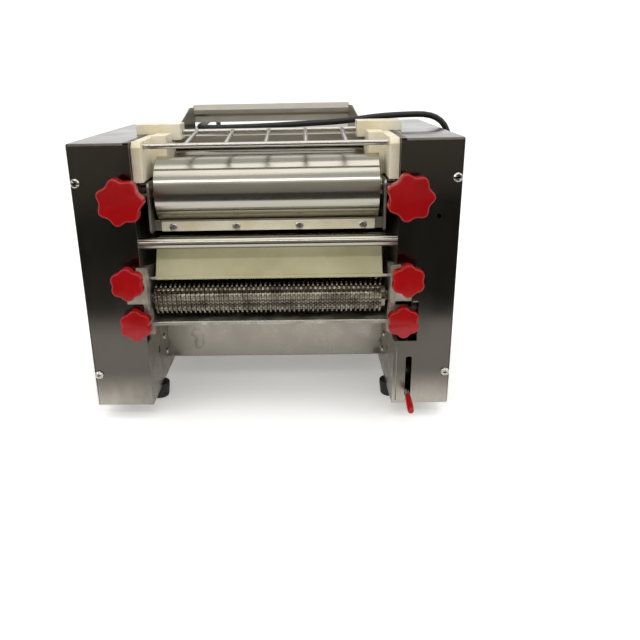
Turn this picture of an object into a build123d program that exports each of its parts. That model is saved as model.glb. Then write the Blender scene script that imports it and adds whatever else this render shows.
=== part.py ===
from build123d import *
import os
from math import acos, atan2, cos, hypot, pi, radians, sin, sqrt, tan

# Electric pasta maker with a pair of smooth rollers above a pair of noodle cutters, between two
# sheet-steel side boxes. Millimetres, +X to the right seen from the front, +Y to the back, +Z up.
# The origin lies on the table under the middle of the machine, lever and screw heads included.
# "depth" is measured back from the front panels, "height" up from the floor of the side boxes.

# ---------------------------------------------------------------- driving dimensions
# side boxes
body_width = 430.0
body_depth = 313.0
body_height = 315.0
box_width = 68.0
panel_sheet = 1.5
cover_sheet = 1.2
wall_thickness = 6.0
foot_height = 20.0
foot_radius = 14.0
foot_depth = 70.0
foot_offset = 7.0
screw_head_radius = 5.5
screw_head_height = 3.0
screw_shank_radius = 2.0
cover_screw_edge = 5.0
cover_screw_inset = 42.0
cover_flange = 14.0

# pressing rollers
roller_radius = 37.5
roller_side_gap = 19.0
roller_gap = 0.5
roller_drop = 59.0
front_roller_depth = 55.0
journal_radius = 12.5
gap_travel = 3.5
gap_screw_pitch = 1.75
front_block_span = (32.0, 72.0)
rear_block_span = (113.5, 147.5)
bearing_block_height = 36.0
bearing_block_width = 19.0

# noodle cutters
noodle_width = 2.8
ring_side_count = 16
ring_end_gap = 6.0
cutter_radius = 20.5
cutter_core_radius = 17.5
cutter_spacing = 39.0
cutter_drop = 182.0
front_cutter_depth = 24.5
cutter_journal_radius = 8.0
bracket_thickness = 6.0
bracket_side_gap = 0.5

# knobs
gap_knob_radius = 26.0
gap_knob_lobes = 7
gap_knob_hollow = 4.0
gap_knob_turn = 2.0
gap_knob_head = 16.0
gap_knob_standoff = 16.0
gap_knob_hub = 8.0
clamp_knob_radius = 19.0
clamp_knob_lobes = 6
clamp_knob_hollow = 2.6
clamp_knob_turn = 32.0
clamp_knob_head = 13.0
clamp_knob_hub = 17.5
stud_radius = 4.0
clamp_flange = 3.0
upper_clamp_rise = 32.0
lower_clamp_drop = 24.0
clamp_setback = 20.0

# gears, belt and motor
roller_gear_teeth = 20
gear_module = 3.0
main_gear_teeth = 34
pinion_teeth = 14
cutter_drive_teeth = 28
idler_teeth = 28
cutter_gear_teeth = 13
gear_width = 10.0
gear_backlash = 0.5
gear_pitch_step = 12.0
countershaft_radius = 9.0
large_pulley_radius = 75.0
small_pulley_radius = 22.0
belt_width = 12.0
belt_thickness = 8.0
motor_radius = 52.0
motor_length = 190.0
motor_depth = 215.0
motor_height = 85.0

# clutch lever
lever_offset = 17.6
lever_pivot_depth = 45.0
lever_pivot_height = 29.0
lever_rest_angle = 13.6
lever_swing = 40.0
lever_rod_radius = 2.5
lever_grip_radius = 4.0
lever_grip_length = 32.0
lever_reach = 42.0
lever_drum_radius = 14.0
shift_travel = 12.0
slot_width = 8.0
slot_bottom = 10.0
slot_top = 62.0

# sheet guides and guard
guard_wire_radius = 3.0
guard_bar_radius = 2.5
guard_front_depth = 25.0
guard_front_drop = 6.0
guard_rear_depth = 125.0
guard_rear_rise = 1.5
guard_bar_count = 5
flap_length = 50.0
flap_thickness = 3.0
flap_lean = 33.0
flap_pivot_depth = 14.0
flap_pivot_rise = 27.0
flap_pin_radius = 3.0
tie_bar_radius = 6.5
tie_bar_depth = 8.0
tie_bar_rise = 8.0
bay_front_depth = 118.0
bay_floor_height = 15.0
bay_top_gap = 7.0
bridge_drop = 4.0

# power cord
cord_radius = 3.75

# clearances
rest_gap = 0.3
running_gap = 0.05

# ---------------------------------------------------------------- derived places
half_width = body_width / 2
cover_screw_heights = (cover_screw_inset, body_height - cover_screw_inset)
roller_height = body_height - roller_drop
cutter_height = body_height - cutter_drop
upper_clamp_height = cutter_height + upper_clamp_rise
lower_clamp_height = cutter_height - lower_clamp_drop
guard_front_height = body_height - guard_front_drop
guard_rear_height = body_height + guard_rear_rise
flap_pivot_height = cutter_height + flap_pivot_rise
tie_bar_height = (roller_height + cutter_height) / 2 + tie_bar_rise
bridge_height = body_height - bridge_drop
inner_x = half_width - box_width
wall_outer_x = inner_x + wall_thickness
front_y = (lever_reach - screw_head_height - body_depth) / 2
rear_y = front_y + body_depth
rear_roller_depth = front_roller_depth + 2 * roller_radius + roller_gap
rear_cutter_depth = front_cutter_depth + cutter_spacing
roller_half = inner_x - roller_side_gap
bracket_x = inner_x - bracket_side_gap - bracket_thickness
block_x = inner_x + bearing_block_width
gap_screw_x = inner_x + 8.0
gap_screw_end = front_block_span[0] + 6.5
clamp_x = inner_x + 9.0
cheek_plate_x = inner_x - 11.0
cheek_inner_x = roller_half + 1.0
cheek_top = body_height + 2.0
hinge_block_front = guard_rear_depth - 17.0
gear_plane = wall_outer_x + 14.0
main_gear_plane = gear_plane + gear_pitch_step
roller_gear_plane = main_gear_plane + gear_pitch_step
roller_gear_module = (2 * roller_radius + roller_gap) / roller_gear_teeth
cutter_gear_module = cutter_spacing / cutter_gear_teeth
lever_x = inner_x + lever_offset


def depth(value):
    """Y of a point that lies this far behind the front panels."""
    return front_y + value


def height(value):
    """Z of a point that lies this far above the floor of the side boxes."""
    return foot_height + value


# ---------------------------------------------------------------- shared forms
def block(x0, x1, d0, d1, h0, h1):
    """A box between two X values, two depths and two heights."""
    centre = ((x0 + x1) / 2, depth((d0 + d1) / 2), height((h0 + h1) / 2))
    return Pos(*centre) * Box(abs(x1 - x0), abs(d1 - d0), abs(h1 - h0))


def rod_x(x0, x1, d, h, radius):
    """A round bar along X."""
    place = Plane(origin=(x0, depth(d), height(h)), x_dir=(0, 1, 0), z_dir=(1, 0, 0))
    return extrude(place * Circle(radius), amount=x1 - x0)


def rod_y(x, d0, d1, h, radius):
    """A round bar along Y."""
    place = Plane(origin=(x, depth(d0), height(h)), x_dir=(1, 0, 0), z_dir=(0, 1, 0))
    return extrude(place * Circle(radius), amount=d1 - d0)


def rod_z(x, d, h0, h1, radius):
    """A round bar along Z."""
    place = Plane(origin=(x, depth(d), height(h0)))
    return extrude(place * Circle(radius), amount=h1 - h0)


def side_plate(x0, x1, outline):
    """A flat plate across X whose outline is given as (depth, height) points."""
    place = Plane(origin=(x0, 0, 0), x_dir=(0, 1, 0), z_dir=(1, 0, 0))
    points = [(depth(d), height(h)) for d, h in outline]
    face = make_face(Polyline(*points, close=True))
    return extrude(place * face, amount=x1 - x0)


def bent_sheet(x0, x1, path, thickness):
    """A sheet folded along (depth, height) points and running from x0 to x1."""
    place = Plane(origin=(x0, 0, 0), x_dir=(0, 1, 0), z_dir=(1, 0, 0))
    line = Polyline(*[(depth(d), height(h)) for d, h in path])
    band = offset(line, amount=thickness, side=Side.RIGHT)
    return extrude(place * make_face(band), amount=x1 - x0)


def mirrored(shape):
    """The same piece on the other side of the machine."""
    return mirror(shape, about=Plane.YZ)


def both_sides(shape):
    return [shape, mirrored(shape)]


def group(shapes):
    """Separate solids that share one node."""
    return Compound(children=[solid for shape in shapes for solid in shape.solids()])


def star_head(radius, lobes, hollow, turn, d_front, thickness):
    """The head of a star knob: round lobes with hollows between; the first lobe is at the turn angle."""
    half_lobe = 0.5 * pi / lobes
    shoulder = radius - 0.5 * hollow

    def on(reach, angle):
        return Vector(reach * cos(angle), reach * sin(angle))

    outline = []
    for index in range(lobes):
        middle = radians(turn) + 2 * pi * index / lobes
        between = middle + pi / lobes
        start, end = on(shoulder, middle - half_lobe), on(shoulder, middle + half_lobe)
        following = on(shoulder, between + half_lobe)
        outline.append(ThreePointArc(start, on(radius, middle), end))
        outline.append(ThreePointArc(end, on(radius - hollow, between), following))
    place = Plane(origin=(0, depth(d_front), 0), x_dir=(1, 0, 0), z_dir=(0, -1, 0))
    return extrude(place * make_face(outline), amount=-thickness)


def gear(x0, d, h, teeth, module, phase, width=gear_width, bore=0.0):
    """A spur gear across X with straight-flanked teeth; a tooth points along the phase angle."""
    pitch_radius = module * teeth / 2
    tip = pitch_radius + 0.95 * module
    root = pitch_radius - 1.2 * module
    half_pitch = (pi * module / 2 - gear_backlash) / 2 / pitch_radius
    half_tip = half_pitch - 0.95 * module * tan(radians(22)) / pitch_radius
    half_root = half_pitch + 1.0 * module * tan(radians(18)) / pitch_radius
    corners = []
    for index in range(teeth):
        middle = phase + 2 * pi * index / teeth
        for radius, angle in ((root, -half_root), (tip, -half_tip), (tip, half_tip), (root, half_root)):
            corners.append((radius * cos(middle + angle), radius * sin(middle + angle)))
    place = Plane(origin=(x0, depth(d), height(h)), x_dir=(0, 1, 0), z_dir=(1, 0, 0))
    body = extrude(place * make_face(Polyline(*corners, close=True)), amount=width)
    if bore:
        body -= rod_x(x0 - 1, x0 + width + 1, d, h, bore)
    return body


def mesh_phase(driver, driven, driver_teeth, driven_teeth, driver_phase):
    """The phase that puts a driven gear's gap on the driver's tooth; centres are (depth, height)."""
    line = atan2(driven[1] - driver[1], driven[0] - driver[0])
    driver_share = (line - driver_phase) * driver_teeth / (2 * pi)
    return line + pi - 2 * pi * (0.5 - driver_share) / driven_teeth


def pan_screw(x, d, h, direction, length):
    """A pan-head screw along Y; direction is -1 for a head that faces the front."""
    head_end = d + direction * screw_head_height
    shank_end = d - direction * length
    head = rod_y(x, min(d, head_end), max(d, head_end), h, screw_head_radius)
    shank = rod_y(x, min(d, shank_end), max(d, shank_end), h, screw_shank_radius)
    return head + shank


# ---------------------------------------------------------------- shaft centres (depth, height)
front_roller_axis = (front_roller_depth, roller_height)
rear_roller_axis = (rear_roller_depth, roller_height)
front_cutter_axis = (front_cutter_depth, cutter_height)
rear_cutter_axis = (rear_cutter_depth, cutter_height)
motor_axis = (motor_depth, motor_height)


def third_centre(first, second, first_distance, second_distance):
    """The centre at the two distances from two others, on the rear side of their line."""
    along_d, along_h = second[0] - first[0], second[1] - first[1]
    span = hypot(along_d, along_h)
    reach = (first_distance**2 - second_distance**2 + span**2) / (2 * span)
    rise = sqrt(first_distance**2 - reach**2)
    return (
        first[0] + (reach * along_d - rise * along_h) / span,
        first[1] + (reach * along_h + rise * along_d) / span,
    )


countershaft_distance = gear_module * (main_gear_teeth + pinion_teeth) / 2
countershaft_angle = radians(46.3)
countershaft_axis = (
    rear_roller_axis[0] + countershaft_distance * cos(countershaft_angle),
    rear_roller_axis[1] - countershaft_distance * sin(countershaft_angle),
)
idler_axis = third_centre(
    rear_roller_axis,
    rear_cutter_axis,
    gear_module * (cutter_drive_teeth + idler_teeth) / 2,
    gear_module * idler_teeth / 2 + cutter_gear_module * cutter_gear_teeth / 2,
)
bay_top_height = countershaft_axis[1] - countershaft_radius - bay_top_gap
switch_x = (wall_outer_x + 23.0, wall_outer_x + 43.0)
switch_heights = (60.0, 88.0)
lever_length = (lever_pivot_depth + lever_reach - lever_grip_radius * sin(radians(lever_rest_angle))) / cos(
    radians(lever_rest_angle)
)
parts = {}


def part(function):
    """Adds the sub-part under the function's own name."""
    parts[function.__name__] = function
    return function


# ---------------------------------------------------------------- side boxes
notch_depth = 76.0
cutter_slot = (cutter_height - 14.0, cutter_height + 14.0)
flange_notch = (lower_clamp_height - 27.0, lower_clamp_height + 23.0)
block_heights = (roller_height - bearing_block_height / 2, roller_height + bearing_block_height / 2)
bush_depth = 14.0
wiring_hole = (61.0, 50.0)
wiring_hole_radius = 5.0
stud_seat = 12.0
bush_half = 10.0
screw_radius = 6.0
bearing_radius = 15.0
countershaft_bearing_radius = 14.0
motor_shaft_radius = 6.0


def wall():
    plate = block(inner_x, wall_outer_x, panel_sheet, body_depth, 0, body_height)
    reach = (inner_x - 1, wall_outer_x + 1)
    plate -= block(*reach, 0, notch_depth, *cutter_slot)
    plate -= block(*reach, 0, clamp_setback, *flange_notch)
    plate -= rod_x(*reach, *wiring_hole, wiring_hole_radius)
    window_front = front_block_span[0] - gap_travel - 2 * rest_gap
    plate -= block(
        *reach, window_front, front_block_span[1] + rest_gap,
        block_heights[0] - rest_gap, block_heights[1] + rest_gap,
    )
    plate -= block(*reach, bush_depth - 1, window_front + 1, roller_height - 7.0, roller_height + 7.0)
    plate -= block(*reach, 0, bush_depth, roller_height - bush_half, roller_height + bush_half)
    plate -= block(*reach, *rear_block_span, *block_heights)
    plate -= rod_x(*reach, *countershaft_axis, countershaft_bearing_radius)
    plate -= rod_y(clamp_x, 0, stud_seat, upper_clamp_height, stud_radius)
    plate -= rod_y(clamp_x, 0, clamp_setback + stud_seat, lower_clamp_height, stud_radius)
    return plate


@part
def right_wall_plate():
    return wall()


@part
def left_wall_plate():
    return mirrored(wall()) - rod_x(-wall_outer_x - 1, -inner_x + 1, *motor_axis, motor_shaft_radius + 1.5)


def housing():
    outer_x = half_width - cover_sheet
    shell = block(inner_x, outer_x, 0, body_depth, 0, body_height)
    shell -= block(
        wall_outer_x, outer_x + 1, panel_sheet, body_depth - panel_sheet,
        panel_sheet, body_height - panel_sheet,
    )
    shell -= block(inner_x - 1, wall_outer_x, panel_sheet, body_depth + 1, -1, body_height + 1)
    shell -= block(inner_x - 1, inner_x + 27.0, -1, panel_sheet + 1, *flange_notch)
    shell -= rod_y(gap_screw_x, -1, panel_sheet + 1, roller_height, screw_radius + 1.0)
    shell -= rod_y(clamp_x, -1, panel_sheet + 1, upper_clamp_height, stud_radius + 0.5)
    shell -= rod_y(clamp_x, -1, panel_sheet + 1, lower_clamp_height, stud_radius + 0.5)
    for screw_height in cover_screw_heights:
        shell -= rod_y(half_width - cover_screw_edge, -1, panel_sheet + 1, screw_height, screw_shank_radius)
    return shell


@part
def left_side_housing():
    return mirrored(housing())


@part
def right_side_housing():
    lever_slot = block(
        lever_x - slot_width / 2, lever_x + slot_width / 2, -1, panel_sheet + 1, slot_bottom, slot_top
    )
    shell = housing() - lever_slot
    shell -= block(*switch_x, body_depth - panel_sheet - 1, body_depth + 1, *switch_heights)
    return shell


def cover():
    inner_face = half_width - cover_sheet
    sheet = block(inner_face, half_width, 0, body_depth, 0, body_height)
    flange = block(
        inner_face - cover_flange, inner_face, panel_sheet, panel_sheet + cover_sheet,
        panel_sheet, body_height - panel_sheet,
    )
    sheet += flange
    for screw_height in cover_screw_heights:
        sheet -= rod_y(half_width - cover_screw_edge, panel_sheet - 1, 4.0, screw_height, screw_shank_radius)
    return sheet


@part
def side_covers():
    return group(both_sides(cover()))


@part
def cover_screws():
    screws = []
    for screw_height in cover_screw_heights:
        screw = pan_screw(half_width - cover_screw_edge, 0, screw_height, -1, panel_sheet)
        screws += both_sides(screw)
    return group(screws)


@part
def rubber_feet():
    feet = []
    for foot_place in (foot_depth, body_depth - 45.0):
        foot = rod_z(inner_x + foot_offset, foot_place, -foot_height, 0, foot_radius)
        feet += both_sides(foot)
    return group(feet)


@part
def front_tie_bar():
    return rod_x(-inner_x, inner_x, tie_bar_depth, tie_bar_height, tie_bar_radius)


# ---------------------------------------------------------------- motor bay and bridge
bay_half = inner_x
bay_sheet = 1.5
vent_count = 8
vent_pitch = 10.0
vent_height = 4.0
vent_bottom = 50.0
vent_span = (-86.0, -20.0)
bridge_front = 150.0
bridge_flange = 16.0


@part
def motor_bay_shell():
    path = [
        (body_depth - panel_sheet, bay_floor_height), (bay_front_depth, bay_floor_height),
        (bay_front_depth, bay_top_height), (body_depth - panel_sheet, bay_top_height),
    ]
    return bent_sheet(-bay_half, bay_half, path, bay_sheet)


@part
def rear_panel():
    sheet = block(-bay_half, bay_half, body_depth - panel_sheet, body_depth, bay_floor_height, bridge_height)
    for index in range(vent_count):
        low = vent_bottom + vent_pitch * index
        sheet -= block(*vent_span, body_depth - panel_sheet - 1, body_depth + 1, low, low + vent_height)
    return sheet


@part
def bridge_cover():
    path = [
        (bridge_front, bridge_height - bridge_flange), (bridge_front, bridge_height),
        (body_depth - panel_sheet, bridge_height),
    ]
    return bent_sheet(-bay_half, bay_half, path, bay_sheet)


# feed lip that stands on two gussets above the bridge
lip_half = inner_x - 43.0
lip_depth = 197.0
lip_bottom = bridge_height + 12.0
lip_top = lip_bottom + 21.0
lip_sheet = 1.5
gusset_foot = (lip_half + 18.0, bridge_front)


@part
def feed_lip():
    path = [
        (lip_depth + 2.5, lip_bottom), (lip_depth, lip_top), (lip_depth + 17.0, lip_top + 1.0),
        (lip_depth + 18.0, lip_top - 6.0),
    ]
    run_x = gusset_foot[0] - lip_half
    run_d = lip_depth + 3.0 - gusset_foot[1]
    span = hypot(run_x, run_d)
    place = Plane(
        origin=(lip_half, depth(lip_depth + 3.0), height(bridge_height)),
        x_dir=(run_x / span, -run_d / span, 0),
        z_dir=(-run_d / span, -run_x / span, 0),
    )
    rise = lip_top - 2.0 - bridge_height
    outline = Polyline((0, 0), (span, 0), (span, 3.0), (4.0, rise), (0, rise), close=True)
    gusset = extrude(place * make_face(outline), amount=1.5)
    return bent_sheet(-lip_half, lip_half, path, lip_sheet) + gusset + mirrored(gusset)


# ---------------------------------------------------------------- pressing rollers
def bearing_block(span):
    return block(inner_x, block_x, *span, *block_heights)


@part
def front_bearing_blocks():
    body = bearing_block(front_block_span)
    body -= rod_x(inner_x - 1, block_x + 1, *front_roller_axis, bearing_radius)
    body -= rod_y(
        gap_screw_x, front_block_span[0] - 1, front_block_span[0] + 6.5 + rest_gap,
        roller_height, screw_radius + running_gap,
    )
    return group(both_sides(body))


def bush(x_end, axis, outer_radius, shaft_radius):
    ring = rod_x(inner_x, x_end, *axis, outer_radius)
    return ring - rod_x(inner_x - 1, x_end + 1, *axis, shaft_radius + running_gap)


@part
def front_roller_bushes():
    return group(both_sides(bush(block_x, front_roller_axis, bearing_radius, journal_radius)))


@part
def shaft_bushes():
    rear = bush(block_x, rear_roller_axis, bearing_radius, journal_radius)
    counter = bush(wall_outer_x + 8.0, countershaft_axis, countershaft_bearing_radius, countershaft_radius)
    return group(both_sides(rear) + both_sides(counter))


def roller(axis, right_end):
    body = rod_x(-roller_half, roller_half, *axis, roller_radius)
    return body + rod_x(-block_x - 2.0, right_end, *axis, journal_radius)


@part
def rear_roller():
    return roller(rear_roller_axis, roller_gear_plane + gear_width + 2.0)


@part
def front_roller():
    return roller(front_roller_axis, roller_gear_plane + gear_width + 2.0)


cheek_front = 8.0
cheek_rear = rear_block_span[1] + 0.5
cheek_bottom = roller_height + 15.0
cheek_step_depth = hinge_block_front - 4.0
cheek_step_height = body_height - 9.0
wedge_width = 18.0
wedge_depths = (60.0, 126.0)
wedge_bottom = roller_height + 12.0


@part
def roller_cheeks():
    rib = side_plate(cheek_plate_x, inner_x, [
        (cheek_front, cheek_bottom), (cheek_rear, cheek_bottom), (cheek_rear, cheek_step_height),
        (cheek_step_depth, cheek_step_height), (cheek_step_depth, body_height),
        (cheek_front + 6.0, body_height), (cheek_front, body_height - 6.0),
    ])
    rest_half = guard_wire_radius + running_gap + 0.45
    rib -= block(
        cheek_plate_x - 1, inner_x + 1, guard_front_depth - rest_half, guard_front_depth + rest_half,
        guard_front_height - guard_wire_radius - rest_gap, body_height + 1,
    )
    wedge_x = cheek_plate_x - wedge_width
    wedge = side_plate(wedge_x, cheek_plate_x, [
        (wedge_depths[0], wedge_bottom), (wedge_depths[1], wedge_bottom), (wedge_depths[1], cheek_step_height),
        (cheek_step_depth, cheek_step_height), (cheek_step_depth, cheek_top),
        (wedge_depths[0] + 6.0, cheek_top),
    ])
    for axis in (front_roller_axis, rear_roller_axis):
        wedge -= rod_x(wedge_x - 1, cheek_inner_x + 1, *axis, roller_radius + 0.5)
        wedge -= rod_x(roller_half, cheek_plate_x + 1, *axis, journal_radius + 2.0)
    return group(both_sides(rib + wedge))


# ---------------------------------------------------------------- scraper of the front roller
arm_x = (inner_x - 16.0, inner_x - 12.0)
arm_front = 13.0
scraper_bar_half = inner_x - 23.0
scraper_screw_span = scraper_bar_half - 14.0


scraper_bottom = 212.0
scraper_bar_depths = (28.0, 33.0)
scraper_bar_top = scraper_bottom + 11.0
scraper_edge = scraper_bottom + 12.4
blade_sheet = 1.0
scraper_screw_height = scraper_bottom + 5.0
scraper_screw_rise = 1.5
scraper_screw_radius = 3.2
arm_pin = (41.5, roller_height + 10.0)
arm_pin_radius = 2.5


@part
def scraper_blade():
    """A blade that wipes the roller, hung on two arms that are pinned inside the bearing blocks."""
    front, blade_front = arm_front, scraper_bar_depths[1]
    arm_top = roller_height + 13.5
    arm = side_plate(*arm_x, [
        (front, scraper_bottom), (blade_front + 4.0, scraper_bottom), (blade_front + 6.0, scraper_bottom + 26.0),
        (blade_front + 3.0, scraper_bottom + 34.0), (blade_front + 3.0, roller_height + 2.0),
        (blade_front + 11.0, roller_height + 7.0), (blade_front + 11.0, arm_top), (front + 2.0, arm_top),
    ])
    arm += rod_x(arm_x[1], inner_x, *arm_pin, arm_pin_radius)
    blade = block(
        -arm_x[0], arm_x[0], blade_front, blade_front + blade_sheet, scraper_bottom, scraper_edge
    )
    return arm + blade + mirrored(arm)


@part
def scraper_bar():
    return block(
        -scraper_bar_half, scraper_bar_half, *scraper_bar_depths, scraper_bottom, scraper_bar_top
    )


@part
def scraper_screws():
    head_front = scraper_bar_depths[0] - scraper_screw_rise
    places = [scraper_screw_span * share for share in (-1, -1 / 3, 1 / 3, 1)]
    return group([
        rod_y(x, head_front, scraper_bar_depths[0], scraper_screw_height, scraper_screw_radius)
        for x in places
    ])


# ---------------------------------------------------------------- noodle cutters
ring_pitch = 2 * noodle_width
ring_width = noodle_width - rest_gap
ring_count = int(2 * (bracket_x - ring_end_gap) / ring_pitch)
ring_span = ring_count * ring_pitch


def cutter_rings(axis, shift):
    """Ring discs along the shaft; the other shaft's rings run in the gaps between them."""
    rings = []
    first = -ring_span / 2 + shift
    flat = Plane(origin=(0, depth(axis[0]), height(axis[1])), x_dir=(0, 1, 0), z_dir=(1, 0, 0))
    disc = extrude(flat * RegularPolygon(cutter_radius, ring_side_count), amount=ring_width)
    for index in range(ring_count):
        rings.append(Pos(first + index * ring_pitch, 0, 0) * disc)
    return group(rings)


@part
def front_cutter_rings():
    return cutter_rings(front_cutter_axis, 0.0)


@part
def rear_cutter_rings():
    return cutter_rings(rear_cutter_axis, noodle_width)


def cutter_shaft(axis):
    core = rod_x(-ring_span / 2 - 2.0, ring_span / 2 + 2.0, *axis, cutter_core_radius)
    return core + rod_x(-bracket_x - bracket_thickness, gear_plane + gear_width, *axis, cutter_journal_radius)


@part
def front_cutter_shaft():
    return cutter_shaft(front_cutter_axis)


@part
def rear_cutter_shaft():
    return cutter_shaft(rear_cutter_axis)


bracket_rear = 90.0
bracket_top = cutter_height + 43.0
bracket_bottom = cutter_height - 33.0
upper_flange_bottom = cutter_height
lower_flange = (lower_clamp_height - 21.0, lower_clamp_height + 13.0)
flange_edge = inner_x + 18.0
stud_slot = stud_radius + 0.6


def cutter_bracket():
    """The side plate of the cutter cassette, with two flanges that the clamp knobs hold."""
    lower_front = clamp_setback - clamp_flange
    side = side_plate(bracket_x, bracket_x + bracket_thickness, [
        (-clamp_flange, upper_flange_bottom), (0.0, upper_flange_bottom - 9.0),
        (lower_front, upper_flange_bottom - 9.0), (lower_front, bracket_bottom),
        (bracket_rear - 4.0, bracket_bottom), (bracket_rear, bracket_bottom + 8.0),
        (bracket_rear, bracket_top - 26.0), (bracket_rear - 14.0, bracket_top - 14.0),
        (front_cutter_depth, bracket_top - 4.0), (-clamp_flange, bracket_top),
    ])
    side += block(bracket_x, flange_edge, -clamp_flange, 0.0, upper_flange_bottom, bracket_top)
    side += block(bracket_x, flange_edge, lower_front, clamp_setback, *lower_flange)
    side += block(
        bracket_x, bracket_x + bracket_thickness, lower_front, clamp_setback + 6.0,
        lower_flange[0], bracket_bottom + 1.0,
    )
    for axis in (front_cutter_axis, rear_cutter_axis):
        side -= rod_x(bracket_x - 1, inner_x, *axis, cutter_journal_radius + running_gap)
    side -= rod_y(clamp_x, -clamp_flange - 1, 1.0, upper_clamp_height, stud_slot)
    side -= block(
        clamp_x - stud_slot, clamp_x + stud_slot, -clamp_flange - 1, 1.0,
        upper_clamp_height, bracket_top + 1,
    )
    side -= rod_y(clamp_x, lower_front - 1, clamp_setback + 1.0, lower_clamp_height, stud_slot)
    flap_pivot = (flap_pivot_depth, flap_pivot_height)
    return side - rod_x(bracket_x - 1, inner_x, *flap_pivot, flap_pin_radius + running_gap)


@part
def cutter_brackets():
    return group(both_sides(cutter_bracket()))


comb_depths = (bracket_rear - 5.0, bracket_rear - 1.0)
comb_heights = (cutter_height - 21.0, cutter_height - 5.0)


@part
def cutter_comb_bar():
    return block(-bracket_x, bracket_x, *comb_depths, *comb_heights)


@part
def clamp_studs():
    reach = clamp_flange + clamp_knob_hub + clamp_knob_head - 5.0
    upper = rod_y(clamp_x, -reach, stud_seat, upper_clamp_height, stud_radius)
    lower = rod_y(clamp_x, clamp_setback - reach, clamp_setback + stud_seat, lower_clamp_height, stud_radius)
    return group(both_sides(upper) + both_sides(lower))


@part
def wall_blocks():
    """Screwed blocks on the walls: seats of the studs, nuts of the gap screws, rear bearing blocks."""
    outer = wall_outer_x + 11.0
    seat_half = 9.0
    upper = block(
        wall_outer_x, outer, panel_sheet, stud_seat + 4.0,
        upper_clamp_height - seat_half, upper_clamp_height + seat_half,
    )
    upper -= rod_y(clamp_x, 0, stud_seat, upper_clamp_height, stud_radius)
    lower = block(
        wall_outer_x, outer, clamp_setback, clamp_setback + stud_seat + 4.0,
        lower_clamp_height - seat_half, lower_clamp_height + seat_half,
    )
    lower -= rod_y(clamp_x, clamp_setback - 1, clamp_setback + stud_seat, lower_clamp_height, stud_radius)
    bush_heights = (roller_height - bush_half, roller_height + bush_half)
    nut = block(inner_x, inner_x + 16.0, panel_sheet, bush_depth, *bush_heights)
    nut -= rod_y(gap_screw_x, 0, bush_depth + 1, roller_height, screw_radius + running_gap)
    rear = bearing_block(rear_block_span)
    rear -= rod_x(inner_x - 1, block_x + 1, *rear_roller_axis, bearing_radius)
    return group(both_sides(upper) + both_sides(lower) + both_sides(nut) + both_sides(rear))


# ---------------------------------------------------------------- sheet flap
flap_half = bracket_x - 10.5
flap_pin_end = inner_x - bracket_side_gap - 1.0


@part
def sheet_flap():
    lean = radians(flap_lean)
    place = Plane(
        origin=(0, depth(flap_pivot_depth), height(flap_pivot_height)),
        x_dir=(1, 0, 0), z_dir=(0, -cos(lean), sin(lean)),
    )
    plate = extrude(
        place * Pos(0, flap_length / 2) * Rectangle(2 * flap_half, flap_length), amount=flap_thickness / 2, both=True
    )
    barrel = rod_x(-flap_half, flap_half, flap_pivot_depth, flap_pivot_height, flap_pin_radius + 1.5)
    pin = rod_x(-flap_pin_end, flap_pin_end, flap_pivot_depth, flap_pivot_height, flap_pin_radius)
    return plate + barrel + pin


# ---------------------------------------------------------------- output chute
chute_front = 12.0
chute_height = cutter_height - 28.0


@part
def output_chute():
    path = [
        (chute_front, chute_height - 8.0), (chute_front, chute_height),
        (bracket_rear + 2.0, chute_height + 0.6), (bay_front_depth - 0.7, chute_height + 12.6),
    ]
    return bent_sheet(-bracket_x, bracket_x, path, bay_sheet)


# ---------------------------------------------------------------- guard
guard_front_half = inner_x - 8.0
guard_rear_half = inner_x - 14.0
guard_bar_pitch = (guard_rear_half + 2.0) / (guard_bar_count // 2 + 1)
hinge_block_depths = (hinge_block_front, guard_rear_depth + 17.0)
hinge_block_top = guard_rear_height + 10.5
hinge_block_bottom = guard_rear_height - 8.5


@part
def safety_guard():
    front_end = (guard_front_depth, guard_front_height)
    rear_end = (guard_rear_depth, guard_rear_height)
    body = rod_x(-guard_front_half, guard_front_half, *front_end, guard_wire_radius)
    body += rod_x(-guard_rear_half, guard_rear_half, *rear_end, guard_wire_radius)
    run_d, run_h = rear_end[0] - front_end[0], rear_end[1] - front_end[1]
    span = hypot(run_d, run_h)
    for index in range(guard_bar_count):
        bar_x = (index - guard_bar_count // 2) * guard_bar_pitch
        place = Plane(
            origin=(bar_x, depth(front_end[0]), height(front_end[1])),
            x_dir=(1, 0, 0), z_dir=(0, run_d / span, run_h / span),
        )
        body += extrude(place * Circle(guard_bar_radius), amount=span)
    return body


@part
def guard_hinge_blocks():
    body = block(inner_x, inner_x + 15.0, *hinge_block_depths, body_height, hinge_block_top)
    body += block(inner_x - 39.0, inner_x, *hinge_block_depths, hinge_block_bottom, hinge_block_top)
    body -= rod_x(
        inner_x - 40.0, guard_rear_half + rest_gap, guard_rear_depth, guard_rear_height,
        guard_wire_radius + running_gap,
    )
    return group(both_sides(body))


# ---------------------------------------------------------------- star knobs
def gap_knob(x):
    """A large star knob with its hub, fixed on the screw that draws a bearing block forward."""
    head_front = -gap_knob_standoff - gap_knob_head
    hub_end = -gap_knob_standoff + gap_knob_hub
    head = star_head(
        gap_knob_radius, gap_knob_lobes, gap_knob_hollow, gap_knob_turn, head_front, gap_knob_head
    )
    body = Pos(x, 0, height(roller_height)) * head
    body += rod_y(x, -gap_knob_standoff, hub_end, roller_height, 14.0)
    return body + rod_y(x, hub_end, gap_screw_end, roller_height, screw_radius)


@part
def right_gap_knob():
    return gap_knob(gap_screw_x)


@part
def left_gap_knob():
    return gap_knob(-gap_screw_x)


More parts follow.
